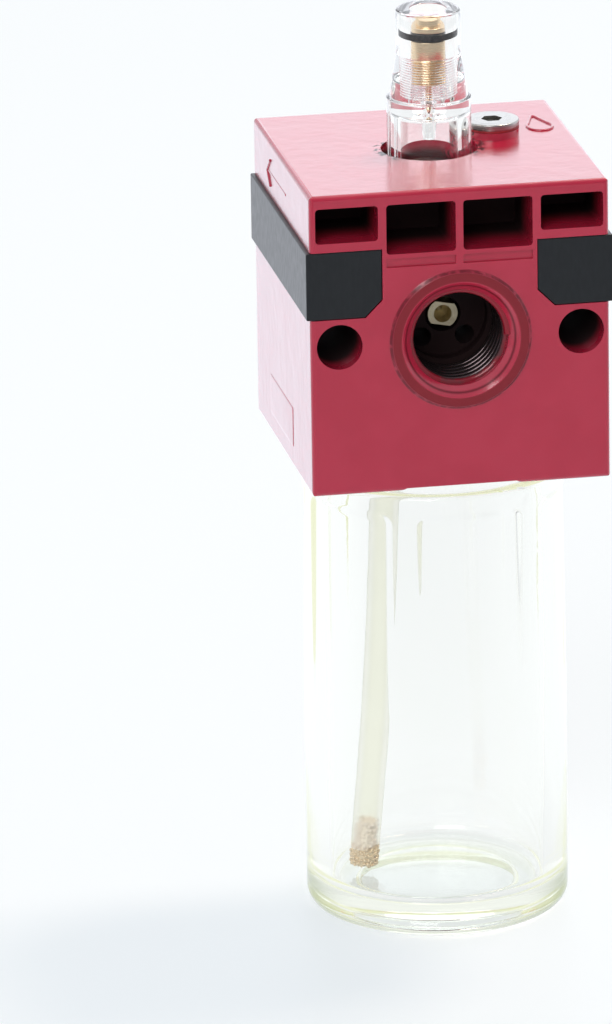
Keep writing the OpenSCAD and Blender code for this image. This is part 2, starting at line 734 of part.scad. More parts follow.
// The grip flutes: deepest at their tops and running out through the bowl's wall below
module flutes() {
    r = bowl_d / 2;
    difference() {
        for (i = [0 : flute_count - 1]) rotate([0, 0, flute_angle + i * 360 / flute_count])
            translate([r - flute_root, 0, 0]) rotate([90, 0, 90]) linear_extrude(flute_root + cut)
                flute_outline();
        translate([0, 0, flute_foot_z - cut]) cylinder(
            r1 = r + cut + cut * flute_rise,
            r2 = r - flute_depth - cut * flute_rise,
            h = flute_top_z - flute_foot_z + 2 * cut
        );
    }
}

module bowl() {
    color(clear_plastic) difference() {
        rotate_extrude() difference() {
            bowl_outside();
            bowl_inside();
        }
        flutes();
    }
}

module bowl_seal() {
    color(rubber_black) translate([0, 0, neck_top + gland_h / 2]) o_ring(bowl_seal_r, bowl_seal_d);
}

body();
left_strip();
right_strip();
sight_dome();
dome_seal();
adjusting_screw();
adjusting_screw_seal();
fill_plug();
fill_plug_seal();
inlet_jet();
tube_connector();
check_ball();
siphon_tube();
tube_filter();
bowl();
bowl_seal();
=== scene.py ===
"""Looks of the mini air lubricator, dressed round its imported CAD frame.

Profiles and paths are in millimetres, in the part's own frame. They become metres where a mesh is made.
"""

import math

import bmesh
import bpy
import numpy as np
from mathutils import Matrix, Vector

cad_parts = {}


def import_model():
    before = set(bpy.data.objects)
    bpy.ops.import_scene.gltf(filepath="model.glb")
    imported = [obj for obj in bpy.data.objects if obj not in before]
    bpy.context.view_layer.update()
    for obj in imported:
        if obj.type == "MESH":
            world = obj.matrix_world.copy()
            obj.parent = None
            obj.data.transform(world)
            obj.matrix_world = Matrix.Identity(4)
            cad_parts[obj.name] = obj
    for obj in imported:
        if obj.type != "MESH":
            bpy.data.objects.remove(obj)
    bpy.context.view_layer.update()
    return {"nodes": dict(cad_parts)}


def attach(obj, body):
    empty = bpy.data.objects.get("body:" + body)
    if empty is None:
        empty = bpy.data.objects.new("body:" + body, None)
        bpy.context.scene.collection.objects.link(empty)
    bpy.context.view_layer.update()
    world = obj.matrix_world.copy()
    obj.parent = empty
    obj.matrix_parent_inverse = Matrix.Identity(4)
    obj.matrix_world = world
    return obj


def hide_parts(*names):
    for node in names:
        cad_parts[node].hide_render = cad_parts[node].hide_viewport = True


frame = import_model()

NODES = frame["nodes"]
MM = 0.001

# Sizes that the part's source gives, in millimetres and radians
BODY_TOP = 105.0
BODY_HALF = 20.0
PORT_Z = 84.4
PORT_FACE = 20.5
THREAD_R = 6.58
SEAT_Z = BODY_TOP - 7.4
TIE_X = 16.15
PLUG_AT = (9.4, 4.7)
PLUG_PITCH = 0.8
WASHER_Z = BODY_TOP + 0.95
PLUG_HEAD_Z = BODY_TOP + 1.26
SCREW_PITCH = 0.35
TUBE_TOP = Vector((-6.4, 0.0, 74.4))
TUBE_CURVE_R = 640.0
TUBE_DIR = math.radians(165)
TUBE_DROP = 66.7
BOWL_R = 17.6
BOWL_BORE_R = 14.5
BOWL_PITCH = 1.5
SHOULDER_Z = 62.0
NECK_R = 16.1
NECK_TOP = 73.5
FLUTE_COUNT = 6
FLUTE_TOP = 59.7
FLUTE_LEN = 28.0
FLUTE_DEPTH = 0.4
FLUTE_W = 14.6
FLUTE_CORNER = 2.0
FLUTE_AT = math.radians(-84)

# Sizes of the looks alone, in millimetres and degrees
THREAD_START = 18.9
FLUTE_SIDE = 0.9
FLUTE_SOFT = 1.6
FLOOR_R = 13.8
EDGE_ANGLE = 35


# Mesh helpers


def link(name, data):
    """A new object in the scene that shows a mesh, a camera or a lamp."""
    obj = bpy.data.objects.new(name, data)
    bpy.context.scene.collection.objects.link(obj)
    return obj


def dress(obj, material, body, slot, *nodes):
    """Gives a finished piece its material and its body, and hides the CAD nodes that it stands for. The slot
    argument is not used.
    """
    if material is not None:
        obj.data.materials.clear()
        obj.data.materials.append(material)
    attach(obj, body)
    if nodes:
        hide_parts(*nodes)


def settled(obj):
    """The object's mesh with its modifiers worked in, as a plain mesh on the same object."""
    bpy.context.view_layer.update()
    depsgraph = bpy.context.evaluated_depsgraph_get()
    mesh = bpy.data.meshes.new_from_object(obj.evaluated_get(depsgraph), depsgraph=depsgraph)
    obj.modifiers.clear()
    obj.data = mesh
    return obj


def smooth(mesh, angle=EDGE_ANGLE):
    """Smooth shading, with edges past an angle in degrees kept sharp."""
    mesh.shade_smooth()
    mesh.set_sharp_from_angle(angle=math.radians(angle))
    return mesh


def rounded(points, closed=False, steps=5):
    """A profile of (r, z, corner radius) with each corner made round."""
    flat = [np.array(p[:2], float) for p in points]
    count, out = len(points), []
    for i, here in enumerate(flat):
        radius = points[i][2] if len(points[i]) > 2 else 0
        if radius <= 0 or (not closed and i in (0, count - 1)):
            out.append(here)
            continue
        a, b = flat[i - 1] - here, flat[(i + 1) % count] - here
        la, lb = np.linalg.norm(a), np.linalg.norm(b)
        a, b = a / la, b / lb
        half = math.acos(float(np.clip(a @ b, -1, 1))) / 2
        back = min(radius / math.tan(half), 0.49 * la, 0.49 * lb)
        middle = here + (a + b) / np.linalg.norm(a + b) * back / math.cos(half)
        u, v = here + a * back - middle, here + b * back - middle
        sweep = math.atan2(u[0] * v[1] - u[1] * v[0], float(u @ v))
        for k in range(steps + 1):
            c, s = math.cos(sweep * k / steps), math.sin(sweep * k / steps)
            out.append(middle + np.array((c * u[0] - s * u[1], s * u[0] + c * u[1])))
    return np.array(out)


def ring_skin(name, rings, closed=False):
    """A skin over rings of points, each (count, 3) in millimetres. Rings of no size become poles."""
    rings = np.array(rings, float)
    levels, count = rings.shape[:2]
    index = np.arange(levels * count).reshape(levels, count)
    upper = np.roll(index, -1, axis=0) if closed else index[1:]
    lower = index if closed else index[:-1]
    faces = np.stack([lower, np.roll(lower, -1, 1), np.roll(upper, -1, 1), upper], -1).reshape(-1, 4)
    mesh = bpy.data.meshes.new(name)
    mesh.from_pydata((rings.reshape(-1, 3) * MM).tolist(), [], faces.tolist())
    bm = bmesh.new()
    bm.from_mesh(mesh)
    bmesh.ops.remove_doubles(bm, verts=bm.verts, dist=1e-7)
    bmesh.ops.recalc_face_normals(bm, faces=bm.faces)
    bm.to_mesh(mesh)
    bm.free()
    return mesh


def turned(name, profile, segments=128, closed=False, cut=None, at=(0, 0)):
    """A turned mesh of a profile. cut(angle, r, z) is how much is taken off the radius."""
    angle = np.linspace(0, 2 * math.pi, segments, endpoint=False)[None, :]
    profile = np.array(profile, float)
    r, z = profile[:, :1] + 0 * angle, profile[:, 1:2] + 0 * angle
    if cut is not None:
        r = r - cut(angle + 0 * r, r, z)
    return ring_skin(name, np.stack([at[0] + r * np.cos(angle), at[1] + r * np.sin(angle), z], -1), closed)


def ease(x, low, high):
    """A smooth step from 0 at low to 1 at high."""
    t = np.clip((x - low) / (high - low), 0, 1)
    return t * t * (3 - 2 * t)


def thread_cut(angle, z, bottom, top, pitch, depth):
    """Depth of a right-hand vee thread at each place, fading in and out at its ends."""
    crest, fade = 0.12, 0.6 * pitch
    phase = (z - bottom) / pitch - angle / (2 * math.pi)
    vee = np.abs(2 * (phase - np.floor(phase)) - 1)
    flat = np.clip((vee - crest) / (1 - 2 * crest), 0, 1)
    return depth * flat * ease(z, bottom, bottom + fade) * ease(-z, -top, fade - top)


def rows(start, end, step):
    """Extra profile places between two heights."""
    count = max(2, int(abs(end - start) / step) + 1)
    return list(np.linspace(start, end, count))


def carve(obj, cutter):
    """Cuts one mesh object out of another."""
    change = obj.modifiers.new("carve", "BOOLEAN")
    change.operation, change.solver, change.object = "DIFFERENCE", "EXACT", cutter
    settled(obj)
    bpy.data.objects.remove(cutter)


def circle(at, radius, count):
    """A plan outline of evenly spaced points round a middle."""
    turns = [2 * math.pi * k / count for k in range(count)]
    return [(at[0] + radius * math.cos(a), at[1] + radius * math.sin(a)) for a in turns]


def prism(name, outline, bottom, top):
    """An upright prism of a plan outline."""
    cap = [tuple(np.mean(np.array(outline, float), 0))] * len(outline)
    levels = ((cap, bottom), (outline, bottom), (outline, top), (cap, top))
    return link(name, ring_skin(name, [[(x, y, z) for x, y in plan] for plan, z in levels]))


def softened(name, node, width, segments=3):
    """A joined copy of a CAD node with its sharp edges broken, as paint or tumbling leaves them."""
    mesh = NODES[node].data.copy()
    mesh.name = name
    bm = bmesh.new()
    bm.from_mesh(mesh)
    bmesh.ops.remove_doubles(bm, verts=bm.verts, dist=2e-6)
    bmesh.ops.dissolve_limit(bm, angle_limit=math.radians(0.4), verts=bm.verts, edges=bm.edges)
    bm.to_mesh(mesh)
    bm.free()
    obj = link(name, mesh)
    if width > 0:
        change = obj.modifiers.new("edges", "BEVEL")
        change.width, change.segments, change.limit_method = width * MM, segments, "ANGLE"
        change.angle_limit, change.use_clamp_overlap = math.radians(EDGE_ANGLE), True
        settled(obj)
    smooth(obj.data)
    flat = obj.modifiers.new("flat_faces", "WEIGHTED_NORMAL")
    flat.keep_sharp = True
    return settled(obj)


# Camera


def photo_camera():
    """A long lens at the photograph's yaw, pitch and slight roll."""
    yaw, pitch, roll = (math.radians(a) for a in (10.43, 17.65, -0.85))
    aim_z, distance, off_left, off_down = 84.8, 1500.0, 17.0, 28.7
    sensor, focal_pixels, picture_pixels = 36, 11301, 1024
    right = Vector((math.cos(yaw), -math.sin(yaw), 0))
    ahead = Vector((math.sin(yaw), math.cos(yaw), 0))
    forward = ahead * math.cos(pitch) - Vector((0, 0, math.sin(pitch)))
    up = right.cross(forward)
    eye = Vector((0, 0, aim_z)) - right * off_left - forward * distance - up * off_down
    level = right * math.cos(roll) + up * math.sin(roll)
    upright = up * math.cos(roll) - right * math.sin(roll)
    lens = bpy.data.cameras.new("photo_camera")
    lens.sensor_width = sensor
    lens.lens = sensor * focal_pixels / picture_pixels
    lens.clip_start, lens.clip_end = 0.1, 30
    camera = link("photo_camera", lens)
    turn = Matrix((level, upright, -forward)).transposed().to_4x4()
    camera.matrix_world = Matrix.Translation(eye * MM) @ turn
    bpy.context.scene.camera = camera


photo_camera()


# Material helpers


def add(tree, kind, **values):
    """A new node with some of its properties set."""
    node = tree.nodes.new(kind)
    for name, value in values.items():
        setattr(node, name, value)
    return node


def join(tree, source, target):
    tree.links.new(source, target)


def feed(tree, value, socket):
    """Sets a socket to a number or a colour, or links another node's output to it."""
    if isinstance(value, (int, float)):
        socket.default_value = value
    elif isinstance(value, tuple):
        socket.default_value = (*value, 1)
    else:
        join(tree, value, socket)


def math_node(tree, operation, *values):
    node = add(tree, "ShaderNodeMath", operation=operation)
    for value, socket in zip(values, node.inputs):
        feed(tree, value, socket)
    return node.outputs[0]


def step_node(tree, value, low, high):
    """A smooth step from 0 at low to 1 at high. It falls where low is the greater."""
    node = add(tree, "ShaderNodeMapRange", interpolation_type="SMOOTHSTEP")
    node.inputs["From Min"].default_value, node.inputs["From Max"].default_value = low, high
    join(tree, value, node.inputs["Value"])
    return node.outputs["Result"]


def mix_node(tree, factor, a, b):
    """A mix of two colours, by the sockets that the node has for colour."""
    node = add(tree, "ShaderNodeMix", data_type="RGBA")
    for value, index in ((factor, 0), (a, 6), (b, 7)):
        feed(tree, value, node.inputs[index])
    return node.outputs[2]


def noise_node(tree, vector, scale, detail=2.0):
    node = add(tree, "ShaderNodeTexNoise")
    node.inputs["Detail"].default_value = detail
    join(tree, vector, node.inputs["Vector"])
    feed(tree, scale, node.inputs["Scale"])
    return node.outputs["Fac"]


def bump_node(tree, height, distance):
    node = add(tree, "ShaderNodeBump")
    node.inputs["Distance"].default_value = distance
    join(tree, height, node.inputs["Height"])
    return node.outputs["Normal"]


def group_tree(name, inputs, outputs):
    """An empty shader group with named sockets: inputs are (name, type, value)."""
    tree = bpy.data.node_groups.new(name, "ShaderNodeTree")
    for label, kind, value in inputs:
        socket = tree.interface.new_socket(label, in_out="INPUT", socket_type="NodeSocket" + kind)
        if value is not None:
            socket.default_value = value
    for label, kind in outputs:
        tree.interface.new_socket(label, in_out="OUTPUT", socket_type="NodeSocket" + kind)
    return tree, add(tree, "NodeGroupInput"), add(tree, "NodeGroupOutput")


def thick_film_group():
    """Orange peel and slow sags of a thick paint or moulded skin."""
    tree, start, end = group_tree(
        "thick_film",
        [("Vector", "Vector", None), ("Peel Scale", "Float", 900.0), ("Sag Scale", "Float", 160.0)],
        [("Height", "Float"), ("Blotch", "Float")],
    )
    peel = noise_node(tree, start.outputs["Vector"], start.outputs["Peel Scale"])
    sag = noise_node(tree, start.outputs["Vector"], start.outputs["Sag Scale"])
    join(tree, math_node(tree, "MULTIPLY_ADD", peel, 0.25, sag), end.inputs["Height"])
    join(tree, step_node(tree, sag, 0.35, 0.65), end.inputs["Blotch"])
    return tree


def turned_lines_group():
    """Fine tool lines round a Z axis: by radius on a face and by height on a wall."""
    tree, start, end = group_tree(
        "turned_lines",
        [("Vector", "Vector", None), ("Lines", "Float", 6000.0)],
        [("Height", "Float"), ("Tone", "Float")],
    )
    parts = add(tree, "ShaderNodeSeparateXYZ")
    join(tree, start.outputs["Vector"], parts.inputs[0])
    x, y, z = parts.outputs
    square = math_node(tree, "MULTIPLY_ADD", x, x, math_node(tree, "MULTIPLY", y, y))
    along = math_node(tree, "ADD", math_node(tree, "SQRT", square), z)
    fine = add(tree, "ShaderNodeTexNoise", noise_dimensions="1D")
    join(tree, along, fine.inputs["W"])
    join(tree, start.outputs["Lines"], fine.inputs["Scale"])
    fine.inputs["Detail"].default_value = 3
    join(tree, fine.outputs["Fac"], end.inputs["Height"])
    join(tree, step_node(tree, fine.outputs["Fac"], 0.3, 0.7), end.inputs["Tone"])
    return tree


def specks_group():
    """Scattered small specks, as dust, pits or grains."""
    tree, start, end = group_tree(
        "specks",
        [("Vector", "Vector", None), ("Scale", "Float", 2500.0), ("Cover", "Float", 0.3)],
        [("Mask", "Float")],
    )
    cells = noise_node(tree, start.outputs["Vector"], start.outputs["Scale"], 3.0)
    edge = math_node(tree, "SUBTRACT", 0.75, math_node(tree, "MULTIPLY", start.outputs["Cover"], 0.5))
    over = math_node(tree, "SUBTRACT", cells, edge)
    join(tree, step_node(tree, over, 0.0, 0.08), end.inputs["Mask"])
    return tree


def disc_group():
    """A soft-edged disc: 1 inside the radius and 0 outside it."""
    tree, start, end = group_tree(
        "disc",
        [("U", "Float", 0.0), ("V", "Float", 0.0), ("Radius", "Float", 1.0), ("Edge", "Float", 0.1)],
        [("Mask", "Float")],
    )
    u, v, radius, edge = (start.outputs[name] for name in ("U", "V", "Radius", "Edge"))
    square = math_node(tree, "MULTIPLY_ADD", u, u, math_node(tree, "MULTIPLY", v, v))
    left = math_node(tree, "SUBTRACT", radius, math_node(tree, "SQRT", square))
    share = math_node(tree, "DIVIDE", left, edge)
    join(tree, step_node(tree, share, -0.5, 0.5), end.inputs["Mask"])
    return tree


THICK_FILM = thick_film_group()
TURNED_LINES = turned_lines_group()
SPECKS = specks_group()
DISC = disc_group()


def finish_start(name):
    """A new material: its tree, its shader and its Object coordinates."""
    material = bpy.data.materials.new(name)
    material.use_nodes = True
    tree = material.node_tree
    shader = tree.nodes["Principled BSDF"]
    return material, tree, shader, add(tree, "ShaderNodeTexCoord").outputs["Object"]


def place(tree, group, vector, **values):
    """A shader group on a vector, with its own values."""
    node = add(tree, "ShaderNodeGroup", node_tree=group)
    join(tree, vector, node.inputs["Vector"])
    settings(node, **values)
    return node


def centred(tree, vector, at, turn=(0, 0, 0)):
    """Object coordinates moved so that at, in millimetres, is the middle, then turned."""
    moved = add(tree, "ShaderNodeVectorMath", operation="SUBTRACT")
    join(tree, vector, moved.inputs[0])
    moved.inputs[1].default_value = [v * MM for v in at]
    node = add(tree, "ShaderNodeMapping")
    node.inputs["Rotation"].default_value = [math.radians(a) for a in turn]
    join(tree, moved.outputs[0], node.inputs["Vector"])
    return node.outputs["Vector"]


def millimetres(tree, vector):
    """The three Object coordinates in millimetres."""
    node = add(tree, "ShaderNodeVectorMath", operation="SCALE")
    node.inputs["Scale"].default_value = 1 / MM
    join(tree, vector, node.inputs[0])
    parts = add(tree, "ShaderNodeSeparateXYZ")
    join(tree, node.outputs[0], parts.inputs[0])
    return parts.outputs


def disc(tree, u, v, radius, edge=0.1):
    node = add(tree, "ShaderNodeGroup", node_tree=DISC)
    join(tree, u, node.inputs["U"])
    join(tree, v, node.inputs["V"])
    node.inputs["Radius"].default_value, node.inputs["Edge"].default_value = radius, edge
    return node.outputs["Mask"]


def folded(tree, operation, masks):
    out = masks[0]
    for mask in masks[1:]:
        out = math_node(tree, operation, out, mask)
    return out


def product(tree, *masks):
    return folded(tree, "MULTIPLY", masks)


def largest(tree, *masks):
    return folded(tree, "MAXIMUM", masks)


def ring_mask(tree, u, v, outer, inner, outer_edge=0.1, inner_edge=0.1):
    """A soft-edged ring between two radii."""
    hole = disc(tree, u, v, inner, inner_edge)
    return math_node(tree, "SUBTRACT", disc(tree, u, v, outer, outer_edge), hole)


def settings(node, **values):
    """Sets inputs by their names, with underscores for spaces."""
    for name, value in values.items():
        node.inputs[name.replace("_", " ")].default_value = value


def coloured(tree, shader, mask, first, second):
    """Base Color from one colour to another by a mask."""
    join(tree, mix_node(tree, mask, first, second), shader.inputs["Base Color"])


def roughened(tree, shader, mask, spread, least):
    """Roughness that rises by spread with a mask."""
    join(tree, math_node(tree, "MULTIPLY_ADD", mask, spread, least), shader.inputs["Roughness"])


def embossed(tree, shader, height, distance):
    """Fine relief, its depth in metres."""
    join(tree, bump_node(tree, height, distance), shader.inputs["Normal"])


# Finishes


def shaded_depths(tree, x, y, z):
    """Painted shade deep in the ports, tie-rod holes, pockets and the dome's seat, where little light gets
    in.
    """
    port_r, tie_r, seat_r, most = 7.0, 3.3, 6.52, 0.98
    wide = math_node(tree, "ABSOLUTE", x)
    deep = math_node(tree, "SUBTRACT", BODY_HALF, math_node(tree, "ABSOLUTE", y))
    low = math_node(tree, "SUBTRACT", BODY_TOP, z)
    rise = math_node(tree, "SUBTRACT", z, PORT_Z)
    port = product(tree, disc(tree, x, rise, port_r), step_node(tree, deep, 1.2, 4.0))
    beside = math_node(tree, "SUBTRACT", wide, TIE_X)
    tie = product(tree, disc(tree, beside, rise, tie_r), step_node(tree, deep, 0.6, 5.0))
    seat = product(tree, disc(tree, x, y, seat_r), step_node(tree, low, 0.2, 1.6))
    between = product(tree, step_node(tree, low, 1.5, 1.7), step_node(tree, low, 8.7, 8.5))
    inside = product(tree, step_node(tree, wide, 19.5, 19.3), step_node(tree, deep, 12.2, 12.0))
    pocket = product(tree, between, inside, step_node(tree, deep, 1.2, 8.5))
    return math_node(tree, "MULTIPLY", largest(tree, port, tie, seat, pocket), most)


def red_enamel():
    """Thick wine-red enamel: dull on the ports' rings, chipped at turned lips, with painted shade in the
    depths and in dark lines at the ports' rings.
    """
    material, tree, shader, spot = finish_start("red_enamel")
    film = place(tree, THICK_FILM, spot, Peel_Scale=850.0, Sag_Scale=170.0).outputs
    x, y, z = millimetres(tree, spot)
    rise = math_node(tree, "SUBTRACT", z, PORT_Z)
    out = math_node(tree, "ABSOLUTE", y)
    ragged = noise_node(tree, spot, 1100.0, 3.0)
    # A smear of paint that runs down into the dome's seat
    smear = step_node(tree, noise_node(tree, spot, 1700.0), 0.46, 0.54)
    smear_top = step_node(tree, z, BODY_TOP - 2.5, BODY_TOP - 1.0)
    torn = product(tree, disc(tree, x, y, 6.9, 0.4), step_node(tree, x, 3.0, 5.0), smear_top, smear)
    # Painted shade: the depths go near black, except where the smear keeps the paint colour
    dark = product(tree, shaded_depths(tree, x, y, z), math_node(tree, "SUBTRACT", 1.0, torn))
    # The ports' raised rings, rubbed on their faces and chipped round their feet, with a dark line there that
    # is partly chips and partly painted shade at the foot of the raised ring
    ring_out, ring_in, skirt_out = 9.15, 7.95, 9.5
    ring = ring_mask(tree, x, rise, ring_out, ring_in, 0.1, 0.2)
    dull = product(tree, ring, step_node(tree, out, PORT_FACE - 0.12, PORT_FACE - 0.04))
    skirt = ring_mask(tree, x, rise, skirt_out, ring_out, 0.2, 0.15)
    on_face = step_node(tree, out, BODY_HALF - 0.05, BODY_HALF + 0.05)
    edge = product(tree, skirt, on_face, step_node(tree, ragged, 0.22, 0.55))
    # Painted shade: a thin dark circle on the chamfer stands in for the shade of a step there
    step_shade = ring_mask(tree, x, rise, 7.45, 7.2, 0.25, 0.25)
    step_shade = product(tree, step_shade, step_node(tree, out, BODY_HALF - 1.6, BODY_HALF - 1.4))
    # Chips at the lip of the dome's seat
    sides = step_node(tree, math_node(tree, "ABSOLUTE", x), 4.6, 6.0)
    on_top = step_node(tree, z, BODY_TOP - 0.4, BODY_TOP - 0.2)
    lip = ring_mask(tree, x, y, 7.4, 6.42, 0.6)
    lip = product(tree, lip, sides, on_top, step_node(tree, ragged, 0.5, 0.55))
    chips_and_shade = math_node(tree, "MULTIPLY", largest(tree, edge, lip, step_shade), 0.8)
    paint = mix_node(tree, film["Blotch"], (0.42, 0.0135, 0.043), (0.44, 0.016, 0.048))
    paint = mix_node(tree, dull, paint, (0.22, 0.014, 0.024))
    # Dark red for the chips, the painted shade round the rings' feet and the painted step line on the chamfer
    paint = mix_node(tree, chips_and_shade, paint, (0.09, 0.006, 0.012))
    paint = mix_node(tree, lip, paint, (0.03, 0.014, 0.016))
    # Painted shade: near black deep in the ports, tie-rod holes, pockets and the dome's seat
    coloured(tree, shader, dark, paint, (0.016, 0.010, 0.010))
    # Rougher and without coat on the rubbed rings, on the chips and where the depths carry painted shade
    rubbed = largest(tree, math_node(tree, "MULTIPLY", dull, 0.6), dark)
    gloss = math_node(tree, "MULTIPLY_ADD", film["Blotch"], 0.04, 0.18)
    roughened(tree, shader, rubbed, 0.6, gloss)
    bare = largest(tree, math_node(tree, "MULTIPLY", dull, 0.9), chips_and_shade, dark)
    join(tree, math_node(tree, "SUBTRACT", 1.0, bare), shader.inputs["Coat Weight"])
    embossed(tree, shader, film["Height"], 0.00006)
    fine, slow = noise_node(tree, spot, 1300.0), noise_node(tree, spot, 420.0)
    ripple = math_node(tree, "MULTIPLY_ADD", fine, 0.3, slow)
    join(tree, bump_node(tree, ripple, 0.00005), shader.inputs["Coat Normal"])
    settings(shader, Coat_Roughness=0.18, Coat_IOR=1.6, Specular_IOR_Level=0.25)
    return material


def thread_metal():
    """Thread flanks: painted at the mouth, bare metal further in, both coloured darker than they are as
    painted shade inside the port.
    """
    material, tree, shader, spot = finish_start("thread_metal")
    along = millimetres(tree, spot)[1]
    deep = math_node(tree, "SUBTRACT", BODY_HALF, math_node(tree, "ABSOLUTE", along))
    film = place(tree, THICK_FILM, spot, Peel_Scale=1500.0, Sag_Scale=500.0).outputs
    worn = math_node(tree, "MULTIPLY_ADD", film["Blotch"], 0.8, deep)
    inner = step_node(tree, worn, 1.6, 3.4)
    # Painted shade: dark red at the mouth and darker bare metal further in
    coloured(tree, shader, inner, (0.24, 0.010, 0.022), (0.13, 0.10, 0.105))
    join(tree, math_node(tree, "MULTIPLY", inner, 0.9), shader.inputs["Metallic"])
    roughened(tree, shader, film["Blotch"], 0.08, 0.12)
    embossed(tree, shader, film["Height"], 0.00003)
    return material


def strip_plastic():
    """Satin black moulded strip with a faint grain along it."""
    material, tree, shader, spot = finish_start("strip_plastic")
    stretch = add(tree, "ShaderNodeMapping")
    stretch.inputs["Scale"].default_value = (1, 1, 0.3)
    join(tree, spot, stretch.inputs["Vector"])
    film = place(tree, THICK_FILM, stretch.outputs[0], Peel_Scale=4000.0, Sag_Scale=2000.0).outputs
    dust = place(tree, SPECKS, spot, Scale=3000.0, Cover=0.2).outputs["Mask"]
    black = mix_node(tree, film["Blotch"], (0.009, 0.011, 0.013), (0.011, 0.0135, 0.016))
    coloured(tree, shader, math_node(tree, "MULTIPLY", dust, 0.05), black, (0.16, 0.17, 0.18))
    roughened(tree, shader, film["Blotch"], 0.06, 0.32)
    embossed(tree, shader, film["Height"], 0.00001)
    return material


def lets_light_by(tree, shader, share):
    """Makes a clear piece cast only a faint shadow."""
    shadow = add(tree, "ShaderNodeLightPath").outputs["Is Shadow Ray"]
    join(tree, math_node(tree, "MULTIPLY_ADD", shadow, -share, 1.0), shader.inputs["Alpha"])


def base_tint_and_shade(tree, spot, clear, floor_tint, foot_tint):
    """The bowl's plastic with painted shade: greyer on its floor, and in its foot, where that turns away from
    the eye, a deeper tint that is partly painted shade.
    """
    x, y, z = millimetres(tree, spot)
    low = step_node(tree, z, 6.0, 4.5)
    on_floor = product(tree, disc(tree, x, y, FLOOR_R, 1.5), low)
    clear = mix_node(tree, on_floor, clear, floor_tint)
    outside = math_node(tree, "SUBTRACT", 1.0, disc(tree, x, y, FLOOR_R + 2.0, 1.0))
    away = step_node(tree, add(tree, "ShaderNodeLayerWeight").outputs["Facing"], 0.25, 0.75)
    foot = product(tree, outside, low, step_node(tree, z, 0.4, 1.0), away)
    return mix_node(tree, foot, clear, foot_tint)


def clear_plastic(name, tint, waves, depth_tint, density, glow, base_tints_and_shade=None):
    """Clear polycarbonate: slow moulding waves, a tint by thickness, and painted light: an emission glow on
    rays that have bounced long inside.
    """
    material, tree, shader, spot = finish_start(name)
    haze, paler = 0.02, 0.008
    film = place(tree, THICK_FILM, spot, Peel_Scale=300.0, Sag_Scale=90.0).outputs
    clear = mix_node(tree, film["Blotch"], tint, tuple(min(1.0, v + paler) for v in tint))
    if base_tints_and_shade is not None:
        clear = base_tint_and_shade(tree, spot, clear, *base_tints_and_shade)
    join(tree, clear, shader.inputs["Base Color"])
    join(tree, math_node(tree, "MULTIPLY", film["Blotch"], haze), shader.inputs["Roughness"])
    embossed(tree, shader, film["Height"], waves)
    # Painted light: an emission glow on rays that have bounced long inside the plastic
    trapped_glow = step_node(tree, add(tree, "ShaderNodeLightPath").outputs["Glossy Depth"], 3.4, 3.6)
    join(tree, mix_node(tree, trapped_glow, (0, 0, 0), glow), shader.inputs["Emission Color"])
    settings(shader, Transmission_Weight=1.0, IOR=1.585, Emission_Strength=1.0)
    lets_light_by(tree, shader, 0.92)
    body = add(tree, "ShaderNodeVolumeAbsorption")
    body.inputs["Color"].default_value = (*depth_tint, 1)
    body.inputs["Density"].default_value = density
    join(tree, body.outputs[0], tree.nodes["Material Output"].inputs["Volume"])
    return material


def tube_plastic():
    """Milky pale tube that lets a little light through."""
    material, tree, shader, spot = finish_start("milky_tube")
    film = place(tree, THICK_FILM, spot, Peel_Scale=900.0, Sag_Scale=250.0).outputs
    coloured(tree, shader, film["Blotch"], (0.967, 0.965, 0.895), (0.975, 0.973, 0.905))
    roughened(tree, shader, film["Blotch"], 0.08, 0.42)
    embossed(tree, shader, film["Height"], 0.00002)
    settings(shader, Transmission_Weight=1.0, IOR=1.16)
    lets_light_by(tree, shader, 0.9)
    return material


def seal_rubber():
    """Matte black nitrile with a dusty bloom."""
    material, tree, shader, spot = finish_start("nitrile")
    bloom = place(tree, SPECKS, spot, Scale=2200.0, Cover=0.5).outputs["Mask"]
    coloured(tree, shader, bloom, (0.012, 0.012, 0.012), (0.03, 0.03, 0.03))
    roughened(tree, shader, bloom, 0.15, 0.45)
    return material


def red_fibre():
    """Vulcanised fibre with a short paper grain."""
    material, tree, shader, spot = finish_start("washer_fibre")
    film = place(tree, THICK_FILM, spot, Peel_Scale=5000.0, Sag_Scale=1500.0).outputs
    coloured(tree, shader, film["Blotch"], (0.27, 0.012, 0.018), (0.34, 0.02, 0.026))
    roughened(tree, shader, film["Blotch"], 0.1, 0.4)
    embossed(tree, shader, film["Height"], 0.00002)
    return material


def turned_metal(name, colours, at, turn=(0, 0, 0), lines=5000.0, rough=(0.22, 0.16), depth=0.00001):
    """Turned metal with tool lines round an axis through at: two tones of the lines, and a stain."""
    material, tree, shader, spot = finish_start(name)
    tool = place(tree, TURNED_LINES, centred(tree, spot, at, turn), Lines=lines).outputs
    stain = place(tree, SPECKS, spot, Scale=1200.0, Cover=0.4).outputs["Mask"]
    bright = mix_node(tree, tool["Tone"], colours[0], colours[1])
    coloured(tree, shader, math_node(tree, "MULTIPLY", stain, 0.35), bright, colours[2])
    roughened(tree, shader, tool["Tone"], rough[1], rough[0])
    embossed(tree, shader, tool["Height"], depth)
    settings(shader, Metallic=1.0)
    return material


